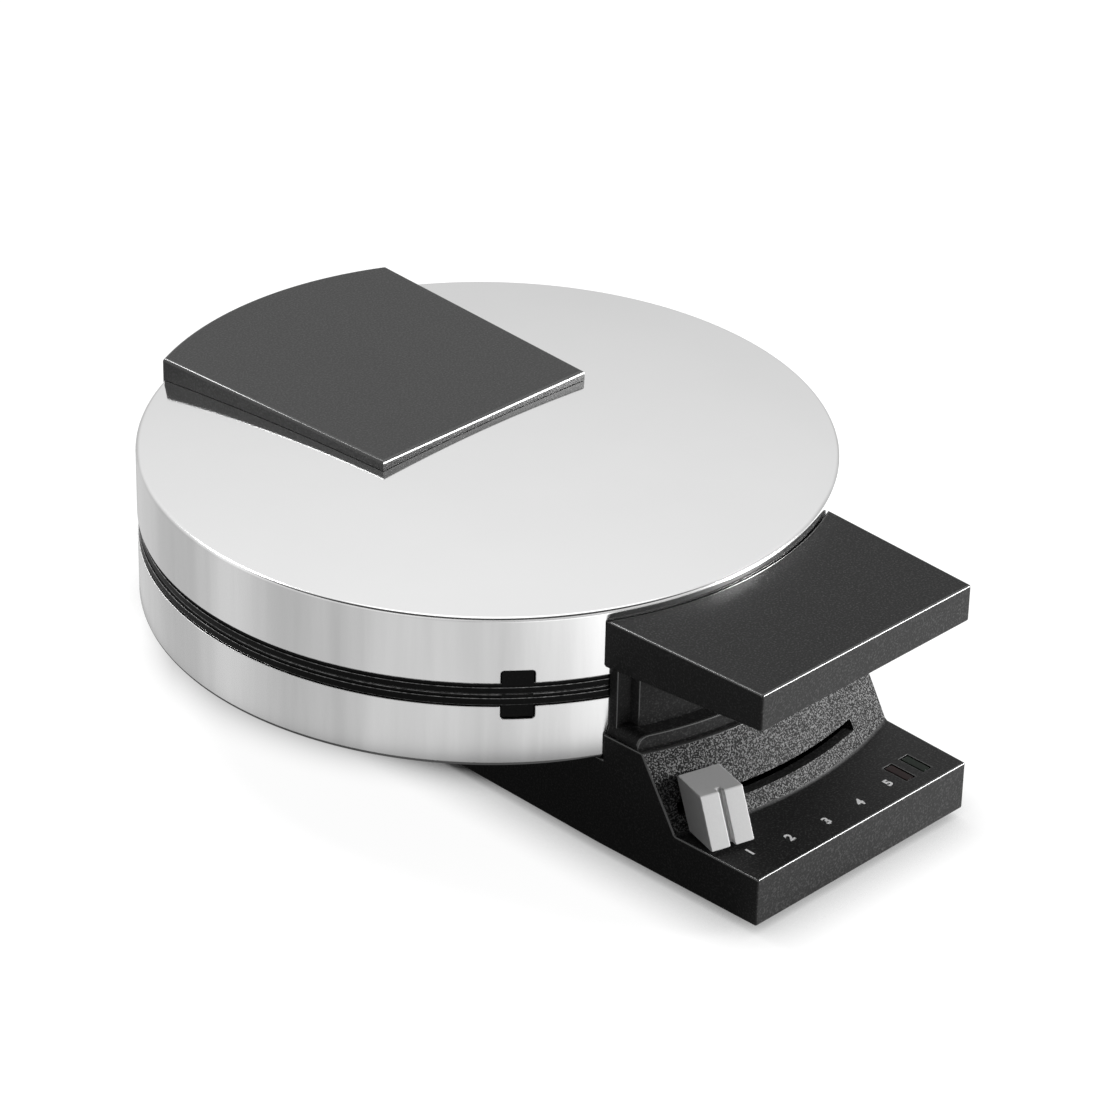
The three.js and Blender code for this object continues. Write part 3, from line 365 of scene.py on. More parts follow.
def finished(form, name, body, materials, nodes, choose=None):
    """Makes a form in millimetres a piece of the object, which stands for some CAD nodes."""
    bmesh.ops.translate(form, vec=AXIS, verts=form.verts)
    bmesh.ops.scale(form, vec=(MM, MM, MM), verts=form.verts)
    mesh = bpy.data.meshes.new(name)
    form.to_mesh(mesh)
    form.free()
    mesh.shade_smooth()
    mesh.set_sharp_from_angle(angle=SHARP)
    for material in materials:
        mesh.materials.append(material)
    piece = bpy.data.objects.new(name, mesh)
    scene.collection.objects.link(piece)
    weighting = piece.modifiers.new("weighting", "WEIGHTED_NORMAL")
    weighting.keep_sharp = True
    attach(piece, body)
    if nodes:
        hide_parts(*nodes)
    return piece


def surface(wire, bump=None, **sockets):
    """A Principled surface from named sockets, with a bump if one is given as (height, strength, distance)."""
    values = {name.replace("_", " "): value for name, value in sockets.items()}
    if bump:
        height, strength, distance = bump
        values["Normal"] = wire.node("ShaderNodeBump", sockets={
            "Height": height, "Strength": strength, "Distance": distance})
    shader = wire.node("ShaderNodeBsdfPrincipled", sockets=values)
    wire.node("ShaderNodeOutputMaterial", sockets={"Surface": shader})


def place_of(wire):
    """The place on the piece, in metres, with the shells' axis at x = y = 0."""
    where = wire.node("ShaderNodeTexCoord", output="Object")
    return wire.node("ShaderNodeVectorMath", {"operation": "SUBTRACT"}, {0: where, 1: AXIS * MM})


def grey(wire, level):
    """A neutral colour from a value."""
    return wire.node("ShaderNodeCombineColor", sockets={0: level, 1: level, 2: level})


def grain(wire, place, size, detail=2.0, roughness=0.5):
    """Noise from 0 to 1 whose grains are about that many millimetres."""
    return wire.node("ShaderNodeTexNoise", sockets={
        "Vector": place, "Scale": 1 / (size * MM), "Detail": detail, "Roughness": roughness})


def moulded_black(name, base, grain_and_glint_lift, specks_at, grain_size, relief, roughness, specular):
    """Black moulding with a bumped spark-eroded grain, whose lighter specks in the colour are partly grain tone and
    partly painted glints of the grain catching the light.
    """
    material, wire = new_material(name)
    place = place_of(wire)
    fine = grain(wire, place, grain_size)
    broad = grain(wire, place, 14)
    specks = fine.between(*specks_at)
    # Painted highlight: the lighter specks stand in partly for glints of the grain.
    color = grey(wire, base + specks * grain_and_glint_lift + broad * (base / 4))
    surface(
        wire, (fine, 0.6, relief * MM), Base_Color=color,
        Roughness=roughness + broad * 0.1, Specular_IOR_Level=specular)
    return material


fine_black = moulded_black("black_fine_grain", 0.009, 0.04, (0.5, 0.72), 0.55, 0.05, 0.44, 0.2)
edge_black = moulded_black("black_polished_edge", 0.02, 0.01, (0.5, 0.8), 0.8, 0.005, 0.2, 1.0)
coarse_black = moulded_black("black_coarse_grain", 0.006, 0.2, (0.49, 0.6), 0.44, 0.3, 0.4, 0.07)
blacks = [fine_black, edge_black, coarse_black]

HOUSING_WALL = 2.5
BAR_HALF = 43.5
FRONT_HALF = 41.7
BAR_TAPER_AT = -88
TAIL_AT = 86
TOWER_HALF = 32
SLAB_TOP = 17.7
DECK_TOP = 30
CONE_TOP = 38.1
CONE_FOOT_RADIUS = 122.5
CONE_TOP_RADIUS = 111.0
CONE_FILLET = 0.5
LEDGE_TOP = 42.2
LEDGE_RADIUS = 109.2
LEDGE_HALF = 42.6
LEDGE_CORNER = 3.2
NECK_RADIUS = 104.4
NECK_HALF = 38.7
FLANGE_RADIUS = 101.4
FLANGE_HALF = 42.2
SHELL_ROOM = 98.8
ARM_HALF = 15
EAR_GAP = 0.4
EDGE_ROUND = 0.7
SLOT_MID = 23.65
SLOT_WIDTH = 2.8
SLOT_FROM = -19.1
SLOT_TO = 12.8
SLOT_CORNER = 0.6
WINDOW_HALF = (1.75, 4.35)
GLAND_LIP = 5.5
GLAND_GAP = 0.15
FAR = 200

housing_low, housing_high = extent("base_housing")
parting = (extent("lower_shell")[1].z + extent("lid_shell")[0].z) / 2
hinge_pin_low, hinge_pin_high = extent("hinge_pin")
hinge_at = (hinge_pin_low.y + hinge_pin_high.y) / 2
knuckle_radius = housing_high.y - hinge_at
gland_low, gland_high = extent("cord_gland")
gland_mid = (gland_low + gland_high) / 2


def bar_outline(inset=0):
    """The plan of the bar: a tapered front, straight sides and a narrowed tail."""
    half = [
        (FRONT_HALF - inset, housing_low.y + inset),
        (BAR_HALF - inset, BAR_TAPER_AT),
        (BAR_HALF - inset, TAIL_AT - inset),
        (TOWER_HALF - inset, housing_high.y - inset),
    ]
    return half + [(-x, y) for x, y in reversed(half)]


def cone_radius(height):
    """The radius of the sloping control panel at a height."""
    share = (CONE_TOP - height) / (CONE_TOP - SLAB_TOP)
    return CONE_TOP_RADIUS + (CONE_FOOT_RADIUS - CONE_TOP_RADIUS) * share


def disc(radius, low, high, steps=FINE_STEPS):
    """A solid disc about the shells' axis."""
    return turned([(0, low), (radius, low), (radius, high), (0, high)], steps)


def ear(low, high):
    """A hinge ear: an upright block with a round top about the hinge axis."""
    steps = 16
    top = [
        (hinge_at + knuckle_radius * math.cos(turn), parting + knuckle_radius * math.sin(turn))
        for turn in (math.pi * step / steps for step in range(steps + 1))]
    outline = [(housing_high.y, SLAB_TOP)] + top + [(hinge_at - knuckle_radius, SLAB_TOP)]
    return extruded(outline, low, high, across=True)


bar = extruded(bar_outline(), housing_low.z, FAR)
bar = carved(bar, block((-FAR, FAR), (-BAR_HALF, FAR), (DECK_TOP, FAR + 1)))
bar = carved(bar, turned([
    (0, CONE_TOP), (CONE_TOP_RADIUS, CONE_TOP), (cone_radius(SLAB_TOP + CONE_FILLET), SLAB_TOP + CONE_FILLET),
    (CONE_FOOT_RADIUS + CONE_FILLET, SLAB_TOP), (FAR, SLAB_TOP), (FAR, FAR + 1), (0, FAR + 1)]))
bar = carved(bar, disc(SHELL_ROOM, DECK_TOP, FAR))
bar = rounded(bar, EDGE_ROUND, upright=False)
towers = [block((-TOWER_HALF, TOWER_HALF), (hinge_at - 7, housing_high.y), (SLAB_TOP, parting - 5))]
for side in (-1, 1):
    inner, outer = sorted((side * (ARM_HALF + EAR_GAP), side * TOWER_HALF))
    towers.append(ear(inner, outer))
for tower in towers:
    tower = rounded(carved(tower, disc(SHELL_ROOM, DECK_TOP - 3, FAR)), 0.6, 2)
    bar = carved(bar, tower, "UNION")

cone_wall = HOUSING_WALL / math.cos(math.atan2(CONE_FOOT_RADIUS - CONE_TOP_RADIUS, CONE_TOP - SLAB_TOP))
deck_under = DECK_TOP - HOUSING_WALL
hollow = carved(extruded(bar_outline(HOUSING_WALL), -FAR, deck_under), turned([
    (cone_radius(deck_under) - cone_wall, deck_under + 1),
    (cone_radius(deck_under) - cone_wall, deck_under),
    (cone_radius(SLAB_TOP - HOUSING_WALL) - cone_wall, SLAB_TOP - HOUSING_WALL),
    (FAR, SLAB_TOP - HOUSING_WALL), (FAR, deck_under + 1),
    (cone_radius(deck_under) - cone_wall, deck_under + 1)]))
bar = carved(bar, hollow)

slot_tool = turned([
    (NECK_RADIUS, SLOT_MID - SLOT_WIDTH / 2), (FAR, SLOT_MID - SLOT_WIDTH / 2),
    (FAR, SLOT_MID + SLOT_WIDTH / 2), (NECK_RADIUS, SLOT_MID + SLOT_WIDTH / 2),
    (NECK_RADIUS, SLOT_MID - SLOT_WIDTH / 2)])
slot_from, slot_to = (math.radians(angle - 90) for angle in (SLOT_FROM, SLOT_TO))
slot_sector = extruded([
    (0, 0), (FAR * 2 * math.cos(slot_from), FAR * 2 * math.sin(slot_from)),
    (FAR * 2 * math.cos(slot_to), FAR * 2 * math.sin(slot_to))], 0, FAR)


def is_radial(edge):
    """True on a level edge that points away from the shells' axis."""
    start, end = (vert.co for vert in edge.verts)
    return abs(start.z - end.z) < WELD and abs(start.x * end.y - start.y * end.x) < 1


slot_tool = rounded(carved(slot_tool, slot_sector, "INTERSECT"), SLOT_CORNER, 4, is_radial)
for face in slot_tool.faces:
    face.material_index = GRAIN
bar = carved(bar, slot_tool)
bar = rounded(bar, 0.2, 2, lambda edge: all(
    abs(math.hypot(vert.co.x, vert.co.y) - cone_radius(vert.co.z)) < 0.03
    and abs(vert.co.z - SLOT_MID) < SLOT_WIDTH / 2 + WELD for vert in edge.verts), clamp=False)

for lens_node in ("power_lens", "ready_lens"):
    lens_low, lens_high = extent(lens_node)
    mid = (lens_low + lens_high) / 2
    bar = carved(bar, block(
        (mid.x - WINDOW_HALF[0], mid.x + WINDOW_HALF[0]), (mid.y - WINDOW_HALF[1], mid.y + WINDOW_HALF[1]),
        (SLAB_TOP - 5, FAR)))
bar = rounded(bar, 0.25, 2, lambda edge: all(
    abs(vert.co.z - SLAB_TOP) < WELD and vert.co.x > 20 and -142 < vert.co.y < -128 for vert in edge.verts))



def through_rear(form):
    """Lays an upright turned form along the axis of the cord gland, its foot inside the rear wall."""
    bmesh.ops.rotate(form, cent=(0, 0, 0), matrix=Matrix.Rotation(-math.pi / 2, 3, "X"), verts=form.verts)
    bmesh.ops.translate(form, vec=(gland_mid.x, gland_low.y, gland_mid.z), verts=form.verts)
    return form


def is_gland_rim(edge):
    """True on the outer edge of the hole for the cord gland."""
    return all(
        abs(vert.co.y - housing_high.y) < WELD
        and abs(math.hypot(vert.co.x - gland_mid.x, vert.co.z - gland_mid.z) - GLAND_LIP - GLAND_GAP) < 0.02
        for vert in edge.verts)


bar = carved(bar, through_rear(disc(GLAND_LIP + GLAND_GAP, 0, FAR, 96)))
bar = rounded(bar, 0.3, 3, is_gland_rim, clamp=False)

handle_low, handle_high = extent("lid_handle")
under_slope = (13.75 - 11.1) / (142.3 - 98.5)


def under_handle(y):
    """The height of the handle's sloping underside, less its clearance."""
    return handle_high.z - 11.1 - under_slope * (y - handle_low.y) - 0.3


def standing(radius, half, low):
    """A piece of a drum in front of the shells, as wide as half to each side, up to the handle."""
    form = carved(disc(radius, low, FAR), block((-half, half), (-FAR, -BAR_HALF), (0, FAR - 1)), "INTERSECT")
    return carved(form, disc(SHELL_ROOM, 0, FAR))


def trimmed(form):
    """Cuts a standing form along the underside of the handle."""
    normal = Vector((0, under_slope, 1)).normalized()
    point = Vector((0, handle_low.y, under_handle(handle_low.y)))
    cut = bmesh.ops.bisect_plane(
        form, geom=form.verts[:] + form.edges[:] + form.faces[:], plane_co=point, plane_no=normal,
        clear_outer=True)
    bmesh.ops.edgenet_fill(form, edges=[e for e in cut["geom_cut"] if isinstance(e, bmesh.types.BMEdge)])
    bmesh.ops.recalc_face_normals(form, faces=form.faces)
    return form


def is_upright(edge):
    """True on an edge that stands upright."""
    start, end = (vert.co for vert in edge.verts)
    return abs(start.x - end.x) < WELD and abs(start.y - end.y) < WELD


def is_lengthwise(edge):
    """True on an edge that runs from front to back."""
    start, end = (vert.co for vert in edge.verts)
    return abs(start.x - end.x) < WELD and abs(start.z - end.z) < WELD


shoulders = rounded(
    block((-LEDGE_HALF, LEDGE_HALF), (-FAR, -BAR_HALF), (CONE_TOP - 0.6, LEDGE_TOP)), LEDGE_CORNER, 10,
    lambda edge: is_lengthwise(edge) and edge.verts[0].co.z > CONE_TOP)
for face in shoulders.faces:
    face.material_index = GRAIN
ledge = carved(shoulders, disc(LEDGE_RADIUS, 0, FAR), "INTERSECT")
ledge = carved(ledge, disc(SHELL_ROOM, 0, FAR))
ledge = rounded(ledge, 0.5, 3, lambda edge: min(v.co.z for v in edge.verts) > CONE_TOP, clamp=False)
neck = rounded(trimmed(standing(NECK_RADIUS, NECK_HALF, LEDGE_TOP - 1)), 0.25, 2)
flange = rounded(trimmed(standing(FLANGE_RADIUS, FLANGE_HALF, CONE_TOP - 1)), 0.25, 2)


housing = merged([bar, ledge, carved(neck, flange, "UNION")])
for face in housing.faces:
    middle = face.calc_center_median()
    radius = math.hypot(middle.x, middle.y)
    on_cone = SLAB_TOP < middle.z < CONE_TOP and middle.y < 0 and abs(radius - cone_radius(middle.z)) < 0.15
    if on_cone and face.material_index == GRAIN:
        face.material_index = COARSE if middle.z > SLAB_TOP + CONE_FILLET else EDGE
finished(housing, "housing_moulding", "base", blacks, ["base_housing"])

# Panel numbers: 1 to 5 printed in white on the slab along the knob's path, baseline to the front.
NUMBER_RADIUS = 138
NUMBER_ANGLES = (-14.0, -8.6, -3.1, 2.4, 7.7)
NUMBER_HEIGHT = 2.9
NUMBER_THICK = 0.04
NUMBER_WEIGHT = 0.14

print_white, wire = new_material("print_white")
worn = grain(wire, place_of(wire), 0.3)
surface(wire, Base_Color=grey(wire, 0.95 + worn * 0.05), Roughness=0.4)

numbers = []
for number, angle in enumerate(NUMBER_ANGLES, start=1):
    text_data = bpy.data.curves.new("number", "FONT")
    text_data.body = str(number)
    text_data.size = NUMBER_HEIGHT / 0.7
    text_data.align_x = "CENTER"
    text_data.align_y = "CENTER"
    text_data.extrude = NUMBER_THICK
    text_data.offset = NUMBER_WEIGHT
    text = bpy.data.objects.new("number", text_data)
    scene.collection.objects.link(text)
    number_mesh = bpy.data.meshes.new_from_object(text.evaluated_get(bpy.context.evaluated_depsgraph_get()))
    number_form = bmesh.new()
    number_form.from_mesh(number_mesh)
    bpy.data.objects.remove(text)
    bpy.data.meshes.remove(number_mesh)
    turn = math.radians(angle)
    bmesh.ops.translate(number_form, verts=number_form.verts, vec=(
        NUMBER_RADIUS * math.sin(turn), -NUMBER_RADIUS * math.cos(turn), SLAB_TOP))
    numbers.append(number_form)
finished(merged(numbers), "panel_numbers", "base", [print_white], [])

# Indicator windows: two narrow lenses of dark tinted plastic, unlit, pushed up from below until
# their flanges stop under the slab.
LENS_HALF = (1.45, 4.05)
LENS_FLANGE_HALF = (2.7, 5.3)
LENS_FLANGE_THICK = 1.2


def tinted_lens(name, tint):
    """Dark glossy plastic with a little depth of colour."""
    material, wire = new_material(name)
    haze = grain(wire, place_of(wire), 2.2)
    color = wire.node("ShaderNodeMix", {"data_type": "RGBA"}, {0: haze, 6: tint, 7: (0.01, 0.01, 0.01, 1)}, output=2)
    surface(wire, Base_Color=color, Roughness=0.3 + haze * 0.08, Specular_IOR_Level=0.12)
    return material


for lens_node, slot_name, tint in (
        ("power_lens", "red_lens", (0.03, 0.006, 0.006, 1)), ("ready_lens", "green_lens", (0.006, 0.022, 0.009, 1))):
    lens_low, lens_high = extent(lens_node)
    mid = (lens_low + lens_high) / 2
    lens = merged([
        block(
            (mid.x - LENS_FLANGE_HALF[0], mid.x + LENS_FLANGE_HALF[0]),
            (mid.y - LENS_FLANGE_HALF[1], mid.y + LENS_FLANGE_HALF[1]),
            (lens_low.z, lens_low.z + LENS_FLANGE_THICK)),
        rounded(block(
            (mid.x - LENS_HALF[0], mid.x + LENS_HALF[0]), (mid.y - LENS_HALF[1], mid.y + LENS_HALF[1]),
            (lens_low.z, SLAB_TOP - 0.1)), 0.3, 3)])
    finished(
        lens, lens_node + "_moulding", "base", [tinted_lens(slot_name + "_tint", tint)] * FINISHES,
        [lens_node])

# Lower shell: a pan of polished stainless sheet, drawn round at its foot, with a notch in its
# edge over each lug of the grid plate and a shallow one behind for the hinge.
SHEET = 0.8
RIM_ROUND = 1.4
LUG_ANGLES = (-39.7, 39.7, 140.3, 219.7)
LUG_WIDTH = 8.7
LUG_REACH = 7.2
NOTCH_GAP = 0.3
NOTCH_CORNER = 1.0
NOTCH_DEEP = 6
# Painted reflection bands on the steel walls: how many there are, and the side where they are strongest.
PAINTED_REFLECTION_BANDS = 12
PAINTED_REFLECTION_AT = math.radians(182)

pan_low, pan_high = extent("lower_shell")
shell_radius = pan_high.x


def polished_steel_material():
    """Polished stainless: a bright mirror on top; on the walls faint upright streaks, partly draw marks and partly
    painted reflection, and painted bands of reflected light, strongest on two opposite sides.
    """
    material, wire = new_material("polished_steel")
    place = place_of(wire)
    parts = [wire.node("ShaderNodeSeparateXYZ", sockets={0: place}, output=i) for i in range(3)]
    angle = parts[1].math("ARCTAN2", parts[1], parts[0])
    reach = wire.node("ShaderNodeVectorMath", {"operation": "LENGTH"}, {0: wire.node(
        "ShaderNodeCombineXYZ", sockets={0: parts[0], 1: parts[1]})}, output="Value")
    wall = reach.between((shell_radius - 1.2) * MM, (shell_radius - 0.3) * MM)
    around = wire.node("ShaderNodeCombineXYZ", sockets={0: angle * 9, 2: parts[2] * 6})
    streaks = wire.node("ShaderNodeTexNoise", sockets={
        "Vector": around, "Scale": 0.8, "Detail": 5.0, "Roughness": 0.55})
    cloud = grain(wire, place, 45, 3.0)
    fine = grain(wire, place, 0.9)
    # Painted reflection: lighter bands round the wall, strongest on two opposite sides, stand in for the studio
    # mirrored in the steel.
    painted_reflection_spread = wire.math("COSINE", (angle - PAINTED_REFLECTION_AT) * 2) * 0.35 + 0.65
    painted_reflection_bands = wire.math("COSINE", (angle - PAINTED_REFLECTION_AT) * PAINTED_REFLECTION_BANDS) * painted_reflection_spread
    level = 0.9 - wall * (1 - streaks.between(0.35, 0.65)) * 0.13 - cloud.between(0.35, 0.75) * 0.02 + (
        wall * painted_reflection_bands * 0.08)
    rough = 0.06 + wall * 0.08 + cloud * 0.03 + fine * 0.02
    surface(wire, (cloud, 0.04, 0.4 * MM), Base_Color=grey(wire, level), Metallic=1.0, Roughness=rough)
    return material


polished_steel = polished_steel_material()

cut_steel, wire = new_material("cut_steel_edge")
burr = grain(wire, place_of(wire), 0.8, 3.0)
surface(wire, (burr, 0.2, 0.02 * MM), Base_Color=grey(wire, 0.7 + burr * 0.1), Metallic=1.0, Roughness=0.5 + burr * 0.1)
steels = [polished_steel, cut_steel, polished_steel]


def notched(form, low, high, depth_half):
    """Cuts the lug notches, round at their corners, and the clearance for the hinge knuckles."""
    for angle in LUG_ANGLES:
        half = LUG_WIDTH / 2 + NOTCH_GAP
        tool = block((-half, half), (-shell_radius - NOTCH_DEEP, -shell_radius + NOTCH_DEEP), (low, high))
        tool = rounded(tool, NOTCH_CORNER, 5, lambda edge: abs(
            edge.verts[0].co.x - edge.verts[1].co.x) < WELD and abs(
            edge.verts[0].co.z - edge.verts[1].co.z) < WELD)
        bmesh.ops.rotate(tool, cent=(0, 0, 0), matrix=Matrix.Rotation(math.radians(angle), 3, "Z"), verts=tool.verts)
        form = carved(form, tool)
    room = block((-TOWER_HALF - EAR_GAP, TOWER_HALF + EAR_GAP), (hinge_at - 4, FAR), (
        parting - depth_half, parting + depth_half))
    return carved(form, room)


def arc(middle, radius, from_angle, to_angle, steps=6):
    """Points of an arc in a profile, angles in degrees from the outward direction."""
    return [
        (middle[0] + radius * math.cos(math.radians(a)), middle[1] + radius * math.sin(math.radians(a)))
        for a in (from_angle + (to_angle - from_angle) * step / steps for step in range(steps + 1))]


foot_middle = (shell_radius - RIM_ROUND, pan_low.z + RIM_ROUND)
pan = turned(
    [(0, pan_low.z)] + arc(foot_middle, RIM_ROUND, -90, 0) + [(shell_radius, pan_high.z)]
    + [(shell_radius - SHEET, pan_high.z)] + arc(foot_middle, RIM_ROUND - SHEET, 0, -90, 3)
    + [(0, pan_low.z + SHEET)])
pan = notched(pan, parting - LUG_REACH - NOTCH_GAP, FAR, 4)
pan = rounded(pan, 0.2, 2)
finished(pan, "lower_shell_pressing", "base", steels, ["lower_shell"])

# Grid plates: aluminium castings with a black non-stick face. Square pegs in four quarters,
# a drain round them, a stepped rim that makes the dark band, and a lug behind each notch.
PLATE_FLOOR = 3
WAFFLE_DEPTH = 6.5
FIELD_RADIUS = 82.5
FIELD_DRAFT = 1.5
LAND = 3.5
DRAIN_WIDTH = 4.5
DRAIN_DEPTH = 2
EDGE_INSET = 0.3
STEP = 0.4
UPPER_STEP = 2.2
LOWER_STEP = 1.1
RIM_DEPTH = 3.3
RIM_WIDTH = 1.8
PEG_PITCH = 14.5
PEG_BASE = 10.4
PEG_TOP = 8.4
PEG_HEIGHT = 4
PEG_SUNK = 1
DIVIDER_BASE = 4.4
DIVIDER_TOP = 1.8
DIVIDER_CLEAR = 1.2
LUG_INSET = 0.6
LUG_THICK = 4
LUG_SUNK = 0.05
KNUCKLE_CLEAR = 0.3

non_stick, wire = new_material("non_stick_coating")
place = place_of(wire)
spray = grain(wire, place, 0.7)
bake = grain(wire, place, 22)
surface(
    wire, (spray, 0.35, 0.05 * MM), Base_Color=grey(wire, 0.006 + spray.between(0.6, 0.78) * 0.02),
    Roughness=0.36 + bake * 0.16, Specular_IOR_Level=0.1)

worn_coating, wire = new_material("non_stick_worn_edge")
place = place_of(wire)
rub = grain(wire, place, 1.2, 3.0).between(0.35, 0.7)
surface(
    wire, (grain(wire, place, 0.7), 0.2, 0.03 * MM), Base_Color=grey(wire, 0.08 + rub * 0.3),
    Metallic=0.7, Roughness=0.32)
coatings = [non_stick, worn_coating, non_stick]


def tapered_peg(base, top, height):
    """A four-sided peg with drafted sides and rounded edges, standing on height zero."""
    form = bmesh.new()
    bmesh.ops.create_cone(
        form, cap_ends=True, segments=4, radius1=base / math.sqrt(2), radius2=top / math.sqrt(2), depth=height)
    bmesh.ops.rotate(form, cent=(0, 0, 0), matrix=Matrix.Rotation(math.pi / 4, 3, "Z"), verts=form.verts)
    bmesh.ops.translate(form, vec=(0, 0, height / 2), verts=form.verts)
    return rounded(form, 0.7, 3)


def rod(radius, half, height=0):
    """A rod along the hinge axis, at a height."""
    form = bmesh.new()
    bmesh.ops.create_cone(form, cap_ends=True, segments=48, radius1=radius, radius2=radius, depth=2 * half)
    bmesh.ops.rotate(form, cent=(0, 0, 0), matrix=Matrix.Rotation(math.pi / 2, 3, "Y"), verts=form.verts)
    bmesh.ops.translate(form, vec=(0, hinge_at, height), verts=form.verts)
    return form


def grid_casting(step_depth, lip):
    """A grid plate face up, its parting at height zero; the lip or step is next to the parting."""
    gap = 0.15
    land = FIELD_RADIUS + FIELD_DRAFT + LAND
    edge = shell_radius - EDGE_INSET
    near, far = (edge, edge - STEP) if lip else (edge - STEP, edge)
    drain_in = land + DRAIN_DEPTH / 2
    drain_out = land + DRAIN_WIDTH
    under = WAFFLE_DEPTH + PLATE_FLOOR
    casting = turned([
        (0, -WAFFLE_DEPTH), (FIELD_RADIUS, -WAFFLE_DEPTH), (FIELD_RADIUS + FIELD_DRAFT, -gap),
        (land, -gap), (drain_in, -DRAIN_DEPTH), (drain_out, -DRAIN_DEPTH),
        (drain_out + DRAIN_DEPTH / 2, -gap), (near, -gap), (near, -step_depth), (far, -step_depth),
        (far, -RIM_DEPTH), (edge - RIM_WIDTH, -RIM_DEPTH), (drain_out, -DRAIN_DEPTH - 2.6),
        (drain_in, -DRAIN_DEPTH - 2.6), (FIELD_RADIUS + FIELD_DRAFT * 2, -under), (0, -under)])
    casting = rounded(
        carved(casting, rod(knuckle_radius + KNUCKLE_CLEAR, TOWER_HALF + EAR_GAP)), 0.2, 2, clamp=False)
    pegs = []
    first = DIVIDER_BASE / 2 + PEG_PITCH / 2
    for i in range(5):
        for j in range(5):
            x, y = first + i * PEG_PITCH, first + j * PEG_PITCH
            if math.hypot(x + PEG_BASE / 2, y + PEG_BASE / 2) > FIELD_RADIUS:
                continue
            for sign_x in (-1, 1):
                for sign_y in (-1, 1):
                    draft = (PEG_BASE - PEG_TOP) * PEG_SUNK / PEG_HEIGHT
                    peg = tapered_peg(PEG_BASE + draft, PEG_TOP, PEG_HEIGHT + PEG_SUNK)
                    bmesh.ops.translate(
                        peg, vec=(sign_x * x, sign_y * y, -WAFFLE_DEPTH - PEG_SUNK), verts=peg.verts)
                    pegs.append(peg)
    reach = FIELD_RADIUS + FIELD_DRAFT / 2
    rib = [
        (-DIVIDER_BASE / 2, -WAFFLE_DEPTH - PEG_SUNK), (DIVIDER_BASE / 2, -WAFFLE_DEPTH - PEG_SUNK),
        (DIVIDER_TOP / 2, -DIVIDER_CLEAR), (-DIVIDER_TOP / 2, -DIVIDER_CLEAR)]
    divider, crossing = (extruded(rib, -reach, reach, across=True) for _ in range(2))
    bmesh.ops.rotate(crossing, cent=(0, 0, 0), matrix=Matrix.Rotation(math.pi / 2, 3, "Z"), verts=crossing.verts)
    divider = rounded(carved(divider, crossing, "UNION"), 0.5, 2)
    lugs = []
    for angle in LUG_ANGLES:
        outer = -shell_radius + LUG_INSET
        lug = rounded(block(
            (-LUG_WIDTH / 2, LUG_WIDTH / 2), (outer, outer + LUG_THICK), (-LUG_REACH, -gap - LUG_SUNK)), 0.3, 2)
        bmesh.ops.rotate(lug, cent=(0, 0, 0), matrix=Matrix.Rotation(math.radians(angle), 3, "Z"), verts=lug.verts)
        lugs.append(lug)
    for form in pegs + [divider] + lugs:
        for face in form.faces:
            face.material_index = GRAIN
    return merged([casting, divider] + pegs + lugs)


lower_plate = grid_casting(LOWER_STEP, False)
bmesh.ops.translate(lower_plate, vec=(0, 0, parting), verts=lower_plate.verts)
finished(lower_plate, "lower_grid_casting", "base", coatings, ["lower_grid_plate"])

upper_plate = grid_casting(UPPER_STEP, True)
bmesh.ops.scale(upper_plate, vec=(1, 1, -1), verts=upper_plate.verts)
bmesh.ops.reverse_faces(upper_plate, faces=upper_plate.faces)
bmesh.ops.translate(upper_plate, vec=(0, 0, parting), verts=upper_plate.verts)
finished(upper_plate, "upper_grid_casting", "lid", coatings, ["upper_grid_plate"])

# Lid shell: the same stainless sheet with a slightly domed top and a small round rim.
DOME_RISE = 4.4
lid_under, lid_top = extent("lid_shell")[0].z, extent("lid_shell")[1].z
rim_top = lid_top - DOME_RISE
dome_radius = shell_radius - RIM_ROUND


def dome(offset=0, steps=12):
    """The profile of the lid from its middle to the bottom of its wall, moved out by an offset."""
    top = [(dome_radius * i / steps, rim_top + DOME_RISE * (1 - (i / steps) ** 2) + offset) for i in range(steps)]
    corner = arc((dome_radius, rim_top - RIM_ROUND), RIM_ROUND + offset, 90, 0)
    return top + corner + [(shell_radius + offset, lid_under)]


lid = turned(dome() + list(reversed(dome(-SHEET))))
lid = notched(lid, -FAR, parting + LUG_REACH + NOTCH_GAP, 4)
lid = rounded(lid, 0.2, 2)
finished(lid, "lid_shell_pressing", "lid", steels, ["lid_shell"])

# Lid handle: a black moulded paddle, flat on top, its underside sloping, hollowed to the shell.
HANDLE_FRONT_HALF = 41.1
HANDLE_FRONT_THICK = 11.1

handle = extruded([
    (HANDLE_FRONT_HALF, handle_low.y), (BAR_HALF, -math.sqrt(shell_radius ** 2 - BAR_HALF ** 2)),
    (BAR_HALF, -shell_radius / 2), (-BAR_HALF, -shell_radius / 2),
    (-BAR_HALF, -math.sqrt(shell_radius ** 2 - BAR_HALF ** 2)), (-HANDLE_FRONT_HALF, handle_low.y)],
    handle_high.z - 40, handle_high.z)
cut = bmesh.ops.bisect_plane(
    handle, geom=handle.verts[:] + handle.edges[:] + handle.faces[:],
    plane_co=(0, handle_low.y, handle_high.z - HANDLE_FRONT_THICK),
    plane_no=Vector((0, under_slope, 1)).normalized(), clear_inner=True)
bmesh.ops.edgenet_fill(handle, edges=[e for e in cut["geom_cut"] if isinstance(e, bmesh.types.BMEdge)])
bmesh.ops.recalc_face_normals(handle, faces=handle.faces)
handle = carved(handle, disc(SHELL_ROOM, 0, FAR))
handle = rounded(handle, 0.8, 4, lambda edge: min(
    vert.co.y for vert in edge.verts) < -shell_radius * 0.95 or not is_upright(edge), upright=False)
finished(handle, "handle_moulding", "lid", blacks, ["lid_handle"])

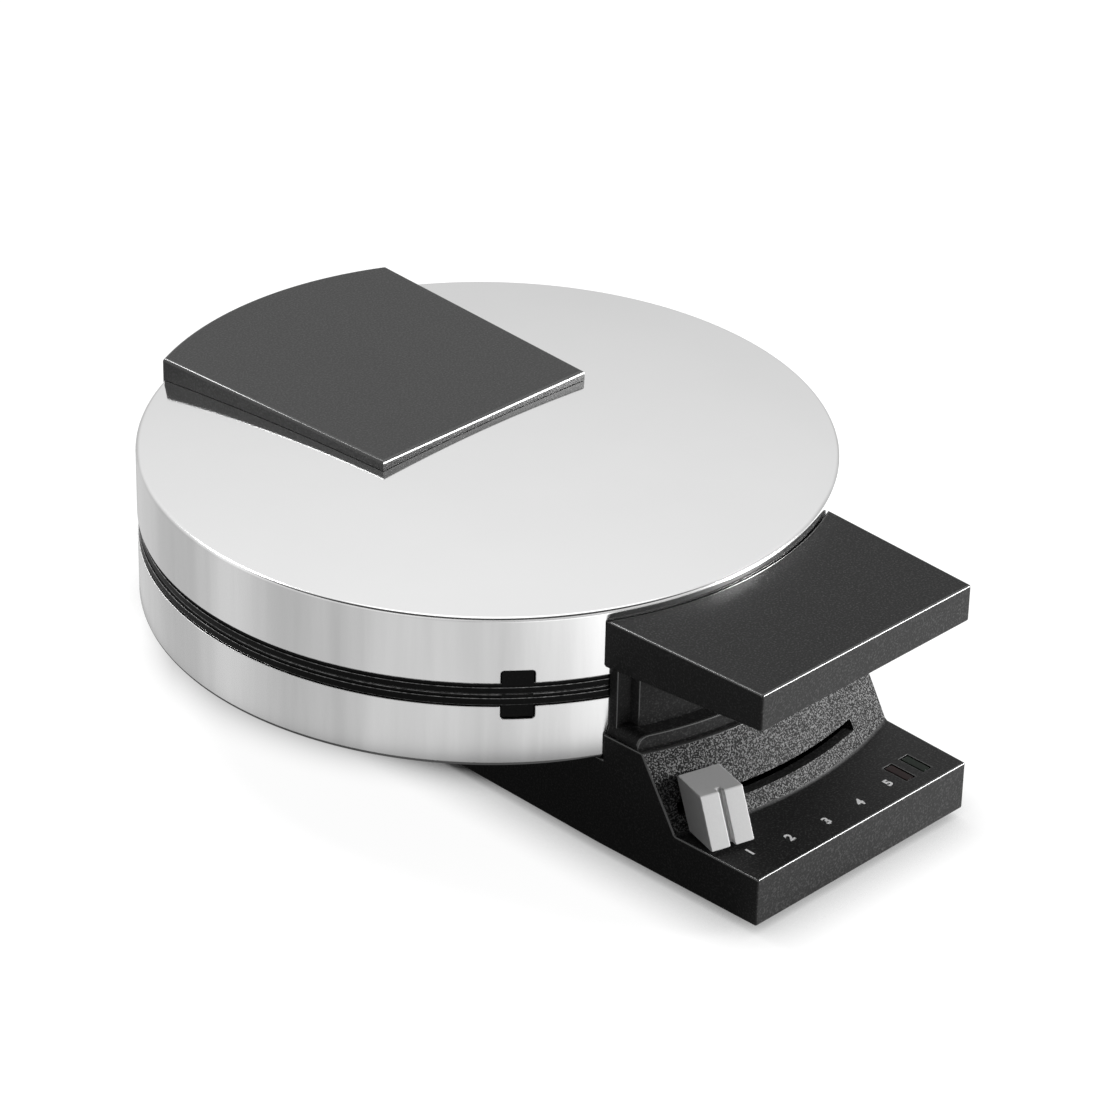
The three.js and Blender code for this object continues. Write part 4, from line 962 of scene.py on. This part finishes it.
# Cover plate: a black moulded plate over the rear of the lid, its underside following the dome.
# Its face is left bare.
PLATE_FRONT_HALF = 39.3

plate_low, plate_high = extent("lid_cover_plate")
cover_plate = extruded([
    (-PLATE_FRONT_HALF, plate_low.y), (PLATE_FRONT_HALF, plate_low.y),
    (BAR_HALF, math.sqrt(shell_radius ** 2 - BAR_HALF ** 2)), (BAR_HALF, FAR),
    (-BAR_HALF, FAR), (-BAR_HALF, math.sqrt(shell_radius ** 2 - BAR_HALF ** 2))], rim_top - 10, plate_high.z)
cover_plate = carved(cover_plate, disc(shell_radius, 0, FAR), "INTERSECT")
cover_plate = rounded(cover_plate, 0.9, 4, lambda edge: min(v.co.z for v in edge.verts) > plate_high.z - 1)
cover_plate = carved(cover_plate, turned(dome(0.12) + [(0, lid_under)]))
plate_black = moulded_black("black_satin", 0.02, 0.05, (0.45, 0.8), 0.55, 0.04, 0.4, 0.44)
finished(
    cover_plate, "cover_plate_moulding", "lid", [plate_black, edge_black, plate_black],
    ["lid_cover_plate"])

# Hinge arm: a black block riveted to the rear of the lid, ending in the middle knuckle.
arm_low, arm_high = extent("lid_hinge_arm")
arm = carved(
    block((-ARM_HALF, ARM_HALF), (hinge_at - 7, housing_high.y), (parting, arm_high.z)), disc(SHELL_ROOM, 0, FAR))
arm = rounded(carved(arm, rod(knuckle_radius, ARM_HALF, parting), "UNION"), 0.8, 3)
finished(arm, "hinge_arm_moulding", "lid", blacks, ["lid_hinge_arm"])

# Browning knob: a light grey slider with a pointer groove, sloped like the panel behind it.
KNOB_ANGLE = -15.4
KNOB_WIDTH = 13.4
POINTER_WIDTH = 1.3
POINTER_DEPTH = 1.7

grey_knob, wire = new_material("grey_satin")
place = place_of(wire)
satin = grain(wire, place, 0.5)
surface(
    wire, (satin, 0.3, 0.03 * MM), Base_Color=grey(wire, 0.56 + satin * 0.06), Roughness=0.42,
    Specular_IOR_Level=0.35)

knob_section = [(-115.78, 32.1), (-127.78, 32.1), (-134.88, 18.8), (-123.28, 18.8)]
knob_slope = (134.88 - 127.78) / (32.1 - 18.8)
knob = extruded(knob_section, -KNOB_WIDTH / 2, KNOB_WIDTH / 2, across=True)
groove_front = [(-127.78 + POINTER_DEPTH + knob_slope * (height - 32.1), height) for height in (40, 10)]
groove = extruded(
    [groove_front[0], (-FAR, 40), (-FAR, 10), groove_front[1]], -POINTER_WIDTH / 2, POINTER_WIDTH / 2, across=True)
knob = rounded(carved(knob, groove), 0.4, 3)
bmesh.ops.rotate(knob, cent=(0, 0, 0), matrix=Matrix.Rotation(math.radians(KNOB_ANGLE), 3, "Z"), verts=knob.verts)
finished(knob, "knob_moulding", "slider", [grey_knob] * FINISHES, ["browning_knob"])

# Cord gland: a black rubber-like bush in the rear wall, with a round lip and the hole for the lead.
GLAND_BORE = 3.4

gland_reach = (gland_high.z - gland_low.z) / 2
gland = turned([
    (GLAND_BORE, 0), (gland_reach, 0), (gland_reach, 1.2), (GLAND_LIP, 1.2),
    (GLAND_LIP, gland_high.y - gland_low.y), (GLAND_BORE, gland_high.y - gland_low.y), (GLAND_BORE, 0)], 96)
gland = through_rear(rounded(gland, 0.4, 3))
finished(gland, "cord_gland_moulding", "base", blacks, ["cord_gland"])

# Feet: four round rubber buttons, pushed through the bottom cover, slightly tapered.
FOOT_STAND = 3

rubber, wire = new_material("foot_rubber")
place = place_of(wire)
dust = grain(wire, place, 3.0, 4.0)
surface(
    wire, (grain(wire, place, 0.4), 0.3, 0.05 * MM), Base_Color=grey(wire, 0.02 + dust.between(0.5, 0.8) * 0.04),
    Roughness=0.75 + dust * 0.15, Specular_IOR_Level=0.3)

for number in (1, 2, 3, 4):
    foot_low, foot_high = extent(f"foot_{number}")
    mid = (foot_low + foot_high) / 2
    reach = (foot_high.y - foot_low.y) / 2
    button = turned([
        (0, 0.4), (reach * 0.45, 0.4), (reach * 0.5, 0), (reach * 0.88, 0), (reach, FOOT_STAND),
        (reach * 0.5, FOOT_STAND), (reach * 0.5, foot_high.z), (0, foot_high.z)], 64)
    button = rounded(button, 0.3, 3)
    bmesh.ops.translate(button, vec=(mid.x, mid.y, 0), verts=button.verts)
    finished(button, f"foot_moulding_{number}", "base", [rubber] * FINISHES, [f"foot_{number}"])

# Pieces that keep their CAD solids: what the shells and the housing hide, and the bottom cover.
# Each gets the finish of its real material.


def dressed(material, *nodes):
    """Gives CAD nodes a material in place of their plain one."""
    for node in nodes:
        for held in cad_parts[node].material_slots:
            held.material = material


dressed(fine_black, "bottom_cover")

plated, wire = new_material("plated_steel")
place = place_of(wire)
blush = grain(wire, place, 1.6, 3.0)
surface(
    wire, (blush, 0.1, 0.05 * MM), Base_Color=grey(wire, 0.5 + blush * 0.16), Metallic=1.0,
    Roughness=0.26 + blush * 0.16)
dressed(plated, *(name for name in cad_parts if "screw" in name or "rivet" in name or name in (
    "hinge_pin", "lever_clip", "thermostat_spindle", "browning_lever", "thermostat")))

sheath, wire = new_material("element_sheath")
place = place_of(wire)
heat = grain(wire, place, 18, 3.0).between(0.3, 0.7)
sheath_color = wire.node(
    "ShaderNodeMix", {"data_type": "RGBA"}, {0: heat, 6: (0.12, 0.1, 0.085, 1), 7: (0.2, 0.17, 0.19, 1)}, output=2)
surface(
    wire, (grain(wire, place, 0.6), 0.3, 0.05 * MM), Base_Color=sheath_color, Metallic=0.8, Roughness=0.5)
dressed(sheath, "lower_heating_element", "upper_heating_element")

reflector_sheet, wire = new_material("reflector_sheet")
place = place_of(wire)
rolled = grain(wire, wire.node("ShaderNodeMapping", sockets={"Vector": place, "Scale": (0.05, 1, 1)}), 1.0)
surface(
    wire, (rolled, 0.15, 0.05 * MM), Base_Color=grey(wire, 0.62 + rolled * 0.16), Metallic=1.0,
    Roughness=0.3 + rolled * 0.1)
dressed(reflector_sheet, "lower_reflector", "upper_reflector")

insulator, wire = new_material("pale_insulator")
place = place_of(wire)
chalk = grain(wire, place, 2.5, 4.0)
insulator_color = wire.node(
    "ShaderNodeMix", {"data_type": "RGBA"}, {0: chalk, 6: (0.62, 0.58, 0.5, 1), 7: (0.76, 0.73, 0.66, 1)}, output=2)
surface(wire, (chalk, 0.2, 0.1 * MM), Base_Color=insulator_color, Roughness=0.6 + chalk * 0.2)
dressed(insulator, "terminal_block", "thermal_fuse", "lamp_board")

lamp_glass, wire = new_material("lamp_glass")
swirl = grain(wire, place_of(wire), 1.2)
surface(
    wire, Base_Color=grey(wire, 0.7 + swirl * 0.2), Roughness=0.05 + swirl * 0.05, Transmission_Weight=0.8)
dressed(lamp_glass, "power_lamp", "ready_lamp")
